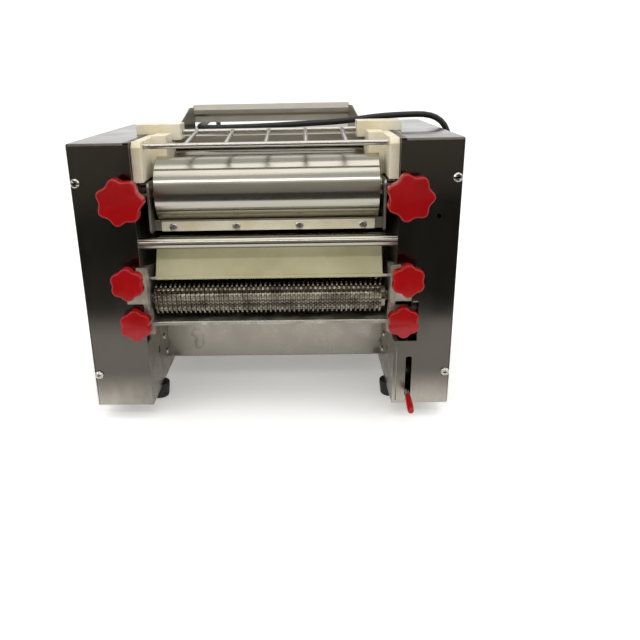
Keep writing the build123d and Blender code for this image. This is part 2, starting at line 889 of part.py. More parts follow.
def clamp_knob(x, stud_height, clamp_face):
    """A small star knob whose hub presses the bracket's flange against the side box."""
    back = clamp_face - clamp_flange
    hub_front = back - clamp_knob_hub
    head_front = hub_front - clamp_knob_head
    head = star_head(
        clamp_knob_radius, clamp_knob_lobes, clamp_knob_hollow, clamp_knob_turn, head_front, clamp_knob_head
    )
    body = Pos(x, 0, height(stud_height)) * head
    body += rod_y(x, hub_front, back, stud_height, 9.0)
    return body - rod_y(x, head_front + 4.0, back + 1, stud_height, stud_radius + running_gap)


@part
def right_upper_clamp_knob():
    return clamp_knob(clamp_x, upper_clamp_height, 0.0)


@part
def left_upper_clamp_knob():
    return clamp_knob(-clamp_x, upper_clamp_height, 0.0)


@part
def right_lower_clamp_knob():
    return clamp_knob(clamp_x, lower_clamp_height, clamp_setback)


@part
def left_lower_clamp_knob():
    return clamp_knob(-clamp_x, lower_clamp_height, clamp_setback)


# ---------------------------------------------------------------- gear train in the right box
main_teeth_phase = 0.0
train_phase = 0.0
pair_phase = 0.0
idler_phase = mesh_phase(rear_roller_axis, idler_axis, cutter_drive_teeth, idler_teeth, train_phase)
rear_cutter_phase = mesh_phase(idler_axis, rear_cutter_axis, idler_teeth, cutter_gear_teeth, idler_phase)
front_cutter_phase = mesh_phase(
    rear_cutter_axis, front_cutter_axis, cutter_gear_teeth, cutter_gear_teeth, rear_cutter_phase
)
pinion_phase = mesh_phase(rear_roller_axis, countershaft_axis, main_gear_teeth, pinion_teeth, main_teeth_phase)
front_pair_phase = mesh_phase(
    rear_roller_axis, front_roller_axis, roller_gear_teeth, roller_gear_teeth, pair_phase
)


@part
def rear_roller_gears():
    pair = gear(
        roller_gear_plane, *rear_roller_axis, roller_gear_teeth, roller_gear_module, pair_phase,
        bore=journal_radius,
    )
    drive = gear(
        main_gear_plane, *rear_roller_axis, main_gear_teeth, gear_module, main_teeth_phase,
        bore=journal_radius,
    )
    cutter = gear(
        gear_plane, *rear_roller_axis, cutter_drive_teeth, gear_module, train_phase, bore=journal_radius
    )
    return group([pair, drive, cutter])


@part
def front_roller_gear():
    return gear(
        roller_gear_plane, *front_roller_axis, roller_gear_teeth, roller_gear_module, front_pair_phase,
        bore=journal_radius,
    )


idler_bore = 8.0
idler_hub_radius = 17.0
groove_radius = 12.0
idler_length = 20.0
groove_x = (gear_plane + 13.0, gear_plane + 17.0)


@part
def sliding_idler_gear():
    """A gear that slides out of mesh, with a grooved hub for the fork."""
    body = gear(gear_plane, *idler_axis, idler_teeth, gear_module, idler_phase)
    body += rod_x(gear_plane + gear_width, gear_plane + idler_length, *idler_axis, idler_hub_radius)
    groove = rod_x(*groove_x, *idler_axis, idler_hub_radius + 1)
    body -= groove - rod_x(groove_x[0] - 1, groove_x[1] + 1, *idler_axis, groove_radius)
    return body - rod_x(gear_plane - 1, gear_plane + idler_length + 1, *idler_axis, idler_bore + running_gap)


@part
def rear_cutter_gear():
    return gear(
        gear_plane, *rear_cutter_axis, cutter_gear_teeth, cutter_gear_module, rear_cutter_phase,
        bore=cutter_journal_radius,
    )


@part
def front_cutter_gear():
    return gear(
        gear_plane, *front_cutter_axis, cutter_gear_teeth, cutter_gear_module, front_cutter_phase,
        bore=cutter_journal_radius,
    )


# ---------------------------------------------------------------- belt drive in the left box and motor
belt_x = -wall_outer_x - 44.0
belt_edge = 2.0
motor_left = -inner_x + 11.0


@part
def countershaft():
    shaft = rod_x(belt_x - 2.0, main_gear_plane + gear_width + 2.0, *countershaft_axis, countershaft_radius)
    return shaft + gear(main_gear_plane, *countershaft_axis, pinion_teeth, gear_module, pinion_phase)


def pulley(axis, groove_radius, bore):
    rim = groove_radius + 5.0
    body = rod_x(belt_x, belt_x + belt_width + 4.0, *axis, rim)
    groove = rod_x(belt_x + 2.0, belt_x + 2.0 + belt_width, *axis, rim + 1)
    groove -= rod_x(belt_x + 1.0, belt_x + 3.0 + belt_width, *axis, groove_radius)
    return body - groove - rod_x(belt_x - 1, belt_x + belt_width + 5.0, *axis, bore)


@part
def large_pulley():
    return pulley(countershaft_axis, large_pulley_radius, countershaft_radius)


@part
def motor_pulley():
    shaft = rod_x(belt_x, motor_left + 5.0, *motor_axis, motor_shaft_radius)
    return pulley(motor_axis, small_pulley_radius, motor_shaft_radius) + shaft


def belt_face(inner_gap):
    """The region inside a loop round both pulleys."""
    small = small_pulley_radius + inner_gap
    large = large_pulley_radius + inner_gap
    along = Vector(countershaft_axis[0] - motor_axis[0], countershaft_axis[1] - motor_axis[1])
    heading = atan2(along.Y, along.X)
    spread = acos((small - large) / along.length)

    def on(axis, radius, angle):
        return (depth(axis[0]) + radius * cos(angle), height(axis[1]) + radius * sin(angle))

    small_start = on(motor_axis, small, heading + spread)
    small_end = on(motor_axis, small, heading - spread)
    large_start = on(countershaft_axis, large, heading - spread)
    large_end = on(countershaft_axis, large, heading + spread)
    loop = [
        ThreePointArc(small_start, on(motor_axis, small, heading + pi), small_end),
        Line(small_end, large_start),
        ThreePointArc(large_start, on(countershaft_axis, large, heading), large_end),
        Line(large_end, small_start),
    ]
    return make_face(loop)


@part
def drive_belt():
    place = Plane(origin=(belt_x + 2.0 + rest_gap, 0, 0), x_dir=(0, 1, 0), z_dir=(1, 0, 0))
    width = belt_width - 2 * rest_gap
    outer = extrude(place * belt_face(rest_gap + belt_thickness), amount=width)
    return outer - extrude(place * belt_face(rest_gap), amount=width)



motor_right = motor_left + motor_length
motor_foot_half = 40.0
motor_foot_inset = 20.0


@part
def drive_motor():
    body = rod_x(motor_left, motor_right, *motor_axis, motor_radius)
    body += rod_x(motor_right, motor_right + 16.0, *motor_axis, motor_radius - 14.0)
    body += block(
        motor_left + motor_foot_inset, motor_right - motor_foot_inset,
        motor_depth - motor_foot_half, motor_depth + motor_foot_half,
        bay_floor_height + bay_sheet, motor_height - 20.0,
    )
    return body - rod_x(motor_left - 1, motor_left + 6.0, *motor_axis, motor_shaft_radius + running_gap)


# ---------------------------------------------------------------- cutter clutch
fork_x = gear_plane + 13.0 + rest_gap
fork_thickness = 4.0 - 2 * rest_gap
guide_axis = (98.0, 100.0)
guide_radius = 4.0
jaw_half = 20.0
stem_depths = (92.0, 106.0)
arm_heights = (lever_pivot_height + 17.0, lever_pivot_height + 29.0)
pin_tip = 10.6
fork_pin_radius = 2.0
lever_bore = 5.0
drum_x = (lever_x - 2.0, lever_x + 24.0)


def lever_direction():
    angle = radians(lever_rest_angle)
    return Vector(0, -cos(angle), -sin(angle))


@part
def clutch_lever():
    pivot = Vector(0, depth(lever_pivot_depth), height(lever_pivot_height))
    body = rod_x(*drum_x, lever_pivot_depth, lever_pivot_height, lever_drum_radius)
    aim = lever_direction()
    end = lever_length - lever_grip_length
    start = pivot + Vector(lever_x, 0, 0) + aim * (lever_drum_radius - 3.0)
    stem = Plane(origin=start, x_dir=(1, 0, 0), z_dir=aim)
    body += extrude(stem * Circle(lever_rod_radius), amount=end + 6.0 - lever_drum_radius + 3.0)
    half_swing = radians(lever_swing) / 2
    lift = Vector(0, -sin(half_swing), cos(half_swing))
    across = Vector(0, -cos(half_swing), -sin(half_swing))
    pin_x = fork_x + fork_thickness / 2
    middle = pivot + Vector(pin_x - shift_travel / 2, 0, 0) + lift * lever_drum_radius
    lateral = (lever_drum_radius + pin_tip) * sin(half_swing)
    travel = Vector(-shift_travel, 0, 0) + across * lateral
    slot_plane = Plane(origin=middle + lift * 3.0, x_dir=travel.normalized(), z_dir=lift)
    slot = extrude(slot_plane * SlotCenterToCenter(travel.length, 6.2), amount=-8.2)
    body -= slot
    bore = lever_bore + running_gap
    return body - rod_x(drum_x[0] - 1, drum_x[1] + 1, lever_pivot_depth, lever_pivot_height, bore)


@part
def lever_grip():
    pivot = Vector(lever_x, depth(lever_pivot_depth), height(lever_pivot_height))
    aim = lever_direction()
    stem = Plane(origin=pivot + aim * (lever_length - lever_grip_length), x_dir=(1, 0, 0), z_dir=aim)
    body = extrude(stem * Circle(lever_grip_radius), amount=lever_grip_length)
    return body - extrude(stem * Circle(lever_rod_radius), amount=6.0)


@part
def shifter_fork():
    """A bent plate on a guide rod: its jaws hold the idler's groove, its pin follows the lever's slot."""
    back = fork_x + fork_thickness
    centre_d, centre_h = idler_axis
    throat = groove_radius + rest_gap
    plate = block(
        fork_x, back, centre_d - jaw_half, centre_d + jaw_half, centre_h - jaw_half - 4.0, centre_h + 8.0
    )
    plate += block(fork_x, back, *stem_depths, arm_heights[0], centre_h - 12.0)
    plate += block(fork_x, back, lever_pivot_depth - 6.0, stem_depths[1], *arm_heights)
    plate -= rod_x(fork_x - 1, back + 1, *idler_axis, throat)
    plate -= block(fork_x - 1, back + 1, centre_d - throat, centre_d + throat, centre_h, centre_h + jaw_half)
    plate += rod_x(fork_x - 4.0, back + 4.0, *guide_axis, 2 * guide_radius)
    plate -= rod_x(fork_x - 5.0, back + 5.0, *guide_axis, guide_radius + running_gap)
    pin_x = fork_x + fork_thickness / 2
    return plate + rod_z(
        pin_x, lever_pivot_depth, lever_pivot_height + pin_tip, arm_heights[0] + 1.0, fork_pin_radius
    )


@part
def stub_shafts():
    idler = rod_x(wall_outer_x, gear_plane + 24.0, *idler_axis, idler_bore)
    pivot = rod_x(wall_outer_x, drum_x[1] + 6.0, lever_pivot_depth, lever_pivot_height, lever_bore)
    guide = rod_x(wall_outer_x, fork_x + 20.0, *guide_axis, guide_radius)
    return group([idler, pivot, guide])


# ---------------------------------------------------------------- power switch

@part
def power_switch_body():
    body = block(*switch_x, body_depth - 16.0, body_depth, *switch_heights)
    body += block(switch_x[0] - 2.0, switch_x[1] + 2.0, body_depth, body_depth + 1.5, switch_heights[0] - 2.0, switch_heights[1] + 2.0)
    pocket = block(switch_x[0] + 2.0, switch_x[1] - 2.0, body_depth - 9.0, body_depth + 2.0, switch_heights[0] + 2.5, switch_heights[1] - 2.5)
    return body - pocket


@part
def power_switch_rocker():
    middle = sum(switch_heights) / 2
    outline = [
        (body_depth - 5.0, middle - 10.5), (body_depth + 3.0, middle - 10.5), (body_depth + 0.8, middle),
        (body_depth + 1.2, middle + 10.5), (body_depth - 5.0, middle + 9.0), (body_depth - 7.5, middle),
    ]
    return side_plate(switch_x[0] + 2.0 + rest_gap, switch_x[1] - 2.0 - rest_gap, outline)


# ---------------------------------------------------------------- power cord
cord_x = -95.0
cord_exit_height = 200.0
cord_side_count = 10
relief_side_count = 20
gland_face = body_depth + 12.0
relief_length = 26.0
side_x = half_width + 15.8
floor_height = -foot_height + cord_radius + rest_gap
coil_centre = (half_width - 65.0, body_depth + 92.0)
coil_turn_radius = 11 * cord_radius
coil_turns = 3.25
coil_pitch = 2 * cord_radius
plug_depth = coil_centre[1] + coil_turn_radius
cord_route = [
    (cord_x, gland_face + relief_length, cord_exit_height),
    (cord_x, body_depth + 75.0, cord_exit_height),
    (cord_x, body_depth + 101.0, cord_exit_height + 26.0),
    (cord_x, body_depth + 101.0, bridge_height - 15.0),
    (cord_x, body_depth + 75.0, bridge_height + 11.0),
    (cord_x, body_depth + 3.0, bridge_height + 11.6),
    (cord_x, 237.0, bridge_height + 7.9),
    (cord_x, 152.0, bridge_height + 7.2),
    (-10.0, 152.0, bridge_height + 8.4),
    (44.0, 152.4, bridge_height + 10.9),
    (inner_x - 55.0, 152.6, bridge_height + 12.6),
    (inner_x + 0.5, 153.0, body_height + 15.8),
    (side_x, 157.0, body_height + 15.8),
    (side_x + 0.7, 162.0, body_height - 68.0),
    (side_x + 1.7, 172.0, body_height - 150.0),
    (side_x + 3.2, 182.0, body_height - 231.0),
    (side_x + 4.2, 192.0, floor_height),
    (side_x + 5.2, body_depth - 29.0, floor_height),
    (side_x - 22.8, body_depth + 37.0, floor_height),
    (coil_centre[0] + coil_turn_radius, coil_centre[1], floor_height),
]


def place_of(point):
    return Vector(point[0], depth(point[1]), height(point[2]))


def bend_radii(points):
    """A bend radius per corner that leaves a straight piece in every run."""
    corners = [place_of(point) for point in points]
    radii = []
    for before, corner, after in zip(corners, corners[1:], corners[2:]):
        turn = radians((corner - before).get_angle(after - corner))
        shorter = min((corner - before).length, (after - corner).length)
        radii.append(min(0.45 * shorter / tan(turn / 2), 400.0))
    return radii


def cord_tube(points):
    radii = bend_radii(points)
    print("cord bend radii", [round(radius, 1) for radius in radii])
    line = FilletPolyline(*[place_of(point) for point in points], radius=radii)
    section = RegularPolygon(cord_radius, cord_side_count)
    tube = sweep(Plane(origin=line @ 0, z_dir=line % 0) * section, path=line)
    print("cord length", round(line.length, 1), "volume", round(tube.volume, 1))
    return tube


@part
def power_cord():
    return cord_tube(cord_route)


@part
def cord_gland():
    """A hexagonal nut on the rear panel with a tapered strain relief."""
    wall_face = Plane(origin=(cord_x, depth(body_depth), height(cord_exit_height)), z_dir=(0, 1, 0))
    nut = extrude(wall_face * RegularPolygon(11.0, 6), amount=gland_face - body_depth)
    relief_face = Plane(origin=(cord_x, depth(gland_face), height(cord_exit_height)), z_dir=(0, 1, 0))
    root = relief_face * RegularPolygon(7.0, relief_side_count)
    tip = relief_face * Pos(0, 0, relief_length) * RegularPolygon(cord_radius + 1.0, relief_side_count)
    return nut + loft([root, tip])


@part
def cord_coil():
    low = floor_height - cord_radius
    high = floor_height + coil_turns * coil_pitch + cord_radius
    ring = rod_z(*coil_centre, low, high, coil_turn_radius + cord_radius)
    return ring - rod_z(*coil_centre, low - 1, high + 1, coil_turn_radius - cord_radius)


plug_radius = 18.0
plug_side_count = 24
plug_tail = 24.0
plug_pin_radius = 2.4
plug_pin_length = 19.0
plug_pin_spacing = 19.0
plug_axis_height = -foot_height + plug_radius + rest_gap
plug_face_x = coil_centre[0] - 112.0
plug_tail_x = coil_centre[0] - 62.0


@part
def cord_tail():
    top = floor_height + coil_turns * coil_pitch
    return cord_tube([
        (coil_centre[0], plug_depth, top),
        (coil_centre[0] - 24.0, plug_depth, top - 1.5),
        (plug_tail_x + 20.0, plug_depth, plug_axis_height + 2.0),
        (plug_tail_x, plug_depth, plug_axis_height),
    ])


@part
def power_plug():
    """A round two-pin plug with a tapered tail."""
    tail_face = Plane(origin=(plug_tail_x, depth(plug_depth), height(plug_axis_height)), z_dir=(-1, 0, 0))
    shoulder = tail_face * Pos(0, 0, plug_tail)
    body = loft([
        tail_face * RegularPolygon(cord_radius + 2.0, plug_side_count),
        shoulder * RegularPolygon(plug_radius - 4.0, plug_side_count),
    ])
    body += extrude(
        shoulder * RegularPolygon(plug_radius, plug_side_count), amount=plug_tail_x - plug_tail - plug_face_x
    )
    for side in (-1, 1):
        body += rod_x(
            plug_face_x - plug_pin_length, plug_face_x, plug_depth + side * plug_pin_spacing / 2,
            plug_axis_height, plug_pin_radius,
        )
    return body


os.makedirs("parts", exist_ok=True)
for name, build_part in parts.items():
    shape = build_part()
    shape.label = name
    export_step(shape, f"parts/{name}.step")
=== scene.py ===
import math
from collections import namedtuple

import bmesh
import bpy
from mathutils import Matrix, Vector


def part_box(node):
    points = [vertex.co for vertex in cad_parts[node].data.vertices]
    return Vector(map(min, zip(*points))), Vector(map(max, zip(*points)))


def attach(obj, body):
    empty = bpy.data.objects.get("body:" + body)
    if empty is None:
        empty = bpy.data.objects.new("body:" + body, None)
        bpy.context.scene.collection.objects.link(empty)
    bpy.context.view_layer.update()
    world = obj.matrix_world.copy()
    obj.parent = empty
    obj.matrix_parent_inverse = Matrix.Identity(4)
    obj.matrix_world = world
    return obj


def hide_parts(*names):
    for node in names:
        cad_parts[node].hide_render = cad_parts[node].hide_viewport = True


# Electric pasta maker, dressed. Sizes are millimetres in the machine's own terms: x to the right,
# depth back from the front panels, height up from the floor of the side boxes.

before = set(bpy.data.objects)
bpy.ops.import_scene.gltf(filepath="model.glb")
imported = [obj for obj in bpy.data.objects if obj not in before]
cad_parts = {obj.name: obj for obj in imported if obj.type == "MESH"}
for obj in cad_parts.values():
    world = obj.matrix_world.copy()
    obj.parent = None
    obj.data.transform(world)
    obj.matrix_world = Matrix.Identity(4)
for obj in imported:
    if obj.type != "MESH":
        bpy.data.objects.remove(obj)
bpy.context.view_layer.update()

MM = 0.001
WELD = 2e-6  # metres between points that become one
FRONT_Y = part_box("right_side_housing")[0][1]
FLOOR_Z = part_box("right_side_housing")[0][2]


def at(x, depth, height):
    """A point of the shared frame, in metres."""
    return Vector((x * MM, FRONT_Y + depth * MM, FLOOR_Z + height * MM))


# ------------------------ camera
camera_data = bpy.data.cameras.new("camera")
camera_data.lens = 37.75
camera_data.sensor_width = 36.0
camera_data.shift_x = 0.0499
camera_data.shift_y = 0.0091
camera = bpy.data.objects.new("camera", camera_data)
camera.location = at(39.07, -742.19, 380.21)
camera.rotation_euler = (1.21337, 0.01887, 0.01634)
bpy.context.scene.collection.objects.link(camera)
bpy.context.scene.camera = camera


# ------------------------ sizes shared with the solids
def reach(node):
    """The low and high corner of a solid as x, depth and height, to a hundredth of a millimetre."""
    corners = [Vector(corner) - at(0, 0, 0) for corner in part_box(node)]
    return [[round(value / MM, 2) for value in corner] for corner in corners]


def middle(node):
    """The middle of a solid's box as x, depth and height."""
    return [(low + high) / 2 for low, high in zip(*reach(node))]


both_sides = ((1, "right"), (-1, "left"))

inner_x = reach("right_side_housing")[0][0]
wall_outer_x = reach("right_wall_plate")[1][0]
half_width = reach("side_covers")[1][0]
body_depth, body_height = reach("right_side_housing")[1][1:]
foot_height = -reach("rubber_feet")[0][2]

roller_half = 128.0
roller_shaft_x = [corner[0] for corner in reach("front_roller")]
front_roller_depth = middle("front_roller")[1]
rear_roller_depth = middle("rear_roller")[1]
roller_height = middle("front_roller")[2]
roller_radius = front_roller_depth - reach("front_roller")[0][1]

noodle_width = 2.8
ring_width = 2.5
ring_count = 48
ring_pitch = 2 * noodle_width
cutter_shaft_x = [corner[0] for corner in reach("front_cutter_shaft")]
front_cutter_depth = middle("front_cutter_rings")[1]
rear_cutter_depth = middle("rear_cutter_rings")[1]
cutter_height = middle("front_cutter_rings")[2]
cutter_radius = front_cutter_depth - reach("front_cutter_rings")[0][1]
cutter_core = front_cutter_depth - reach("front_cutter_shaft")[0][1]
bracket_x = reach("output_chute")[1][0]

gap_knob_x = 155.0
clamp_knob_x = 156.0
cord_radius = 3.75


# ------------------------ materials
def linear(code):
    """An sRGB hex colour as linear RGBA."""
    levels = [int(code[index:index + 2], 16) / 255 for index in (1, 3, 5)]
    return [v / 12.92 if v <= 0.04045 else ((v + 0.055) / 1.055) ** 2.4 for v in levels] + [1.0]


def add_node(tree, kind, links=None, **settings):
    """Adds a node, sets its properties, and sets or links its inputs."""
    node = tree.nodes.new(kind)
    for name, value in settings.items():
        setattr(node, name, value)
    for name, value in (links or {}).items():
        if isinstance(value, bpy.types.NodeSocket):
            tree.links.new(value, node.inputs[name])
        else:
            node.inputs[name].default_value = value
    return node


def new_material(name, colour, metallic=0.0, roughness=0.5, ior=1.5):
    """A material with a shader in one colour."""
    material = bpy.data.materials.new(name)
    material.use_nodes = True
    shader = material.node_tree.nodes["Principled BSDF"]
    shader.inputs["Base Color"].default_value = linear(colour)
    shader.inputs["Metallic"].default_value = metallic
    shader.inputs["Roughness"].default_value = roughness
    shader.inputs["IOR"].default_value = ior
    return material


def patches(material, size_mm, detail=3.0, drawn=(1, 1, 1)):
    """Cloudy patches of a real size, longer along an axis whose factor is below 1."""
    tree = material.node_tree
    place = add_node(tree, "ShaderNodeTexCoord").outputs["Object"]
    mapping = add_node(tree, "ShaderNodeMapping", {"Vector": place, "Scale": drawn})
    return add_node(tree, "ShaderNodeTexNoise", {
        "Vector": mapping.outputs["Vector"], "Scale": 1 / (size_mm * MM), "Detail": detail,
        "Roughness": 0.6,
    }).outputs["Fac"]


def climb(material, start_mm, end_mm):
    """How far a place has come between two heights over the floor, from 0 to 1."""
    tree = material.node_tree
    place = add_node(tree, "ShaderNodeTexCoord").outputs["Object"]
    height = add_node(tree, "ShaderNodeSeparateXYZ", {"Vector": place}).outputs["Z"]
    span = {"Value": height, "From Min": FLOOR_Z + start_mm * MM, "From Max": FLOOR_Z + end_mm * MM}
    steps = add_node(tree, "ShaderNodeMapRange", span, interpolation_type="SMOOTHSTEP")
    return steps.outputs["Result"]


def vary_gloss(material, pattern, low, high):
    """Lets the roughness follow a pattern."""
    tree = material.node_tree
    spread = add_node(tree, "ShaderNodeMapRange", {
        "Value": pattern, "From Min": 0.35, "From Max": 0.65, "To Min": low, "To Max": high,
    }).outputs["Result"]
    tree.links.new(spread, tree.nodes["Principled BSDF"].inputs["Roughness"])


def stain_and_painted_light(material, pattern, bare_colour, marked_colour, start=0.35, end=0.65):
    """Lets the colour follow a pattern, from bare to marked; some marks are painted light and
    shade.
    """
    tree = material.node_tree
    share = add_node(tree, "ShaderNodeMapRange", {
        "Value": pattern, "From Min": start, "From Max": end,
    }).outputs["Result"]
    colours = {0: share, 6: linear(bare_colour), 7: linear(marked_colour)}
    mixed = add_node(tree, "ShaderNodeMix", colours, data_type="RGBA").outputs[2]
    tree.links.new(mixed, tree.nodes["Principled BSDF"].inputs["Base Color"])


def roughen(material, pattern, depth_mm):
    """Lets a pattern stand up from the surface by a real depth."""
    tree = material.node_tree
    relief = add_node(tree, "ShaderNodeBump", {
        "Height": pattern, "Distance": depth_mm * MM, "Strength": 1.0,
    }).outputs["Normal"]
    tree.links.new(relief, tree.nodes["Principled BSDF"].inputs["Normal"])


# Stainless sheet, mirror polished: dark where the room is dark, with a painted reflection of the
# bright floor, which lightens the colour toward the foot in patches. Wipe marks about 60 mm wide
# run up and down, and the sheet has a faint wave 110 mm long.
def make_mirror_steel():
    material = new_material("mirror_polished_stainless", "#56524c", 1.0, 0.16)
    tree = material.node_tree
    # painted reflection of the bright floor: the colour lightens toward the foot, below 48 mm, in
    # patches
    foot = climb(material, 48, 0)
    marks = patches(material, 40, 5.0, (1, 1, 0.5))
    painted_floor_reflection = add_node(tree, "ShaderNodeMath", {0: foot, 1: marks}, operation="MULTIPLY").outputs[0]
    stain_and_painted_light(material, painted_floor_reflection, "#56524c", "#a8a298", 0.0, 0.6)
    smears = patches(material, 60, 5.0, (1, 1, 0.45))
    clouded = add_node(tree, "ShaderNodeMath", {0: smears, 1: painted_floor_reflection}, operation="ADD").outputs[0]
    vary_gloss(material, clouded, 0.13, 0.22)
    roughen(material, patches(material, 110, 1.0), 0.25)
    return material


# Cold-rolled stainless sheet, 2B finish: soft reflections with fine rolling lines along x, drawn
# 1 mm apart so that they show.
def make_sheet_steel():
    material = new_material("cold_rolled_stainless", "#a19c91", 1.0, 0.36)
    vary_gloss(material, patches(material, 45, 4.0), 0.3, 0.46)
    roughen(material, patches(material, 1.0, 2.0, (0.03, 1, 1)), 0.008)
    return material


# The same sheet with a film of flour, thickest in clouds about 20 mm wide, that turns it matt and
# pale.
def make_floury_steel():
    material = new_material("floury_stainless", "#a19c91", 0.6, 0.42)
    tree = material.node_tree
    clouds = patches(material, 20, 6.0)
    bare = add_node(tree, "ShaderNodeMapRange", {
        "Value": clouds, "From Min": 0.4, "From Max": 0.72, "To Min": 0.75, "To Max": 0.1,
    }).outputs["Result"]
    tree.links.new(bare, tree.nodes["Principled BSDF"].inputs["Metallic"])
    stain_and_painted_light(material, clouds, "#9d978a", "#c9c4b6", 0.5, 0.75)
    vary_gloss(material, clouds, 0.34, 0.6)
    return material


# The same sheet as the inner walls: bare near the floor, and dark beside the rollers, from 180 mm
# up, with painted shade broken up in clouds about 25 mm wide.
def make_wall_steel():
    material = new_material("stainless_with_painted_shade", "#8a857b", 1.0, 0.36)
    clouds = patches(material, 25, 5.0)
    # painted shade beside the rollers: the colour darkens from 180 mm up, broken up by clouds
    uneven = {0: clouds, 1: 0.5, 2: climb(material, 180, 250)}
    painted_wall_shade = add_node(material.node_tree, "ShaderNodeMath", uneven, operation="MULTIPLY_ADD")
    film = painted_wall_shade.outputs[0]
    stain_and_painted_light(material, film, "#958f84", "#34312c", 0.12, 1.15)
    vary_gloss(material, clouds, 0.3, 0.48)
    return material


# The same sheet under the dough: fingertip marks about 18 mm wide and 60 mm apart, as broken ovals,
# and a cloudy film.
def make_smudged_steel():
    material = new_material("smudged_stainless", "#8f8a80", 1.0, 0.3)
    tree = material.node_tree
    place = add_node(tree, "ShaderNodeTexCoord").outputs["Object"]
    film = patches(material, 26, 5.0)
    wave = {"Vector": place, "Scale": 1 / (20 * MM)}
    waver = add_node(tree, "ShaderNodeTexNoise", wave).outputs["Color"]
    pushed = {"Vector": waver, "Scale": 12 * MM}
    nudge = add_node(tree, "ShaderNodeVectorMath", pushed, operation="SCALE").outputs["Vector"]
    moved = {0: place, 1: nudge}
    bent = add_node(tree, "ShaderNodeVectorMath", moved, operation="ADD").outputs["Vector"]
    drawn_up = {"Vector": bent, "Scale": (1, 1, 0.6)}
    tall = add_node(tree, "ShaderNodeMapping", drawn_up).outputs["Vector"]
    cells = add_node(tree, "ShaderNodeTexVoronoi", {
        "Vector": tall, "Scale": 1 / (60 * MM), "Randomness": 0.8,
    }).outputs["Distance"]
    away = add_node(tree, "ShaderNodeMath", {0: cells, 1: 0.15}, operation="SUBTRACT").outputs[0]
    ring = add_node(tree, "ShaderNodeMath", {0: away}, operation="ABSOLUTE").outputs[0]
    tips = add_node(tree, "ShaderNodeMapRange", {
        "Value": ring, "From Min": 0.0, "From Max": 0.06, "To Min": 1.0, "To Max": 0.0,
    }, interpolation_type="SMOOTHSTEP").outputs["Result"]
    both = add_node(tree, "ShaderNodeMath", {0: tips, 1: film}, operation="MULTIPLY").outputs[0]
    stain_and_painted_light(material, both, "#979288", "#777267", 0.3, 0.75)
    vary_gloss(material, film, 0.24, 0.4)
    return material


# Ground and polished bar and rollers: the grinding lines run round them, so reflections are drawn
# out along x into level bands. The gloss changes in streaks about 35 mm wide.
def make_ground_steel():
    material = new_material("ground_steel", "#a9a599", 1.0, 0.2)
    tree = material.node_tree
    shader = tree.nodes["Principled BSDF"]
    shader.inputs["Anisotropic"].default_value = 0.9
    shader.inputs["Anisotropic Rotation"].default_value = 0.25
    round_x = add_node(tree, "ShaderNodeTangent", direction_type="RADIAL", axis="X")
    tree.links.new(round_x.outputs["Tangent"], shader.inputs["Tangent"])
    vary_gloss(material, patches(material, 35, 6.0, (0.4, 1, 1)), 0.17, 0.25)
    return material


# Nickel-plated steel bars, screws and pins: bright, with a slight orange peel 2 mm wide.
def make_plated_steel():
    material = new_material("nickel_plated_steel", "#b3b0a8", 1.0, 0.16)
    vary_gloss(material, patches(material, 8, 4.0), 0.12, 0.24)
    roughen(material, patches(material, 2, 2.0), 0.01)
    return material


# Turned steel cutter rings: glossy and dark, darker in clouds about 16 mm wide.
def make_cutter_steel():
    material = new_material("turned_cutter_steel", "#736d62", 1.0, 0.16)
    dark_clouds = patches(material, 16, 5.0)
    stain_and_painted_light(material, dark_clouds, "#8b8577", "#4f493f")
    vary_gloss(material, dark_clouds, 0.1, 0.26)
    return material


# Hobbed carbon steel with a film of grease: darker and satin.
def make_gear_steel():
    material = new_material("greased_gear_steel", "#77736c", 1.0, 0.35)
    vary_gloss(material, patches(material, 11, 4.0), 0.25, 0.5)
    roughen(material, patches(material, 1.2, 2.0), 0.02)
    return material


# Sand-cast iron pulley, painted grey: dull, with a cast skin of 2 mm grain.
def make_cast_iron():
    material = new_material("painted_cast_iron", "#4a4d50", 0.0, 0.55)
    vary_gloss(material, patches(material, 8), 0.45, 0.65)
    roughen(material, patches(material, 2.2, 4.0), 0.12)
    return material


# Moulded acetal, ivory: waxy gloss, slightly yellowed in patches about 35 mm wide.
def make_cream_plastic():
    material = new_material("ivory_acetal", "#e4dcc6", 0.0, 0.32, 1.48)
    yellowing = patches(material, 35, 5.0)
    stain_and_painted_light(material, yellowing, "#e9e3d0", "#dccfae")
    vary_gloss(material, yellowing, 0.26, 0.42)
    shader = material.node_tree.nodes["Principled BSDF"]
    shader.inputs["Subsurface Weight"].default_value = 0.06
    shader.inputs["Subsurface Scale"].default_value = 4 * MM
    return material


# Polyethylene board, planed: khaki, with a satin sheen and faint stains about 45 mm wide.
def make_khaki_plastic():
    material = new_material("khaki_polyethylene", "#b7b18b", 0.0, 0.42, 1.5)
    stains = patches(material, 45, 6.0)
    stain_and_painted_light(material, stains, "#bcb691", "#aca57c", 0.4, 0.75)
    vary_gloss(material, stains, 0.36, 0.5)
    return material


# Moulded phenolic resin, red: deep glossy colour, with a moulding ripple about 14 mm long.
def make_red_plastic():
    material = new_material("red_phenolic", "#9c070c", 0.0, 0.24, 1.4)
    stain_and_painted_light(material, patches(material, 30, 2.0), "#9e070c", "#92060a")
    vary_gloss(material, patches(material, 9), 0.18, 0.27)
    roughen(material, patches(material, 14, 1.0), 0.03)
    return material


# Moulded nitrile rubber: near black and dusty, with a 1 mm pebble.
def make_rubber():
    material = new_material("moulded_rubber", "#161616", 0.0, 0.75, 1.52)
    vary_gloss(material, patches(material, 7, 4.0), 0.6, 0.85)
    roughen(material, patches(material, 1.1, 2.0), 0.05)
    return material


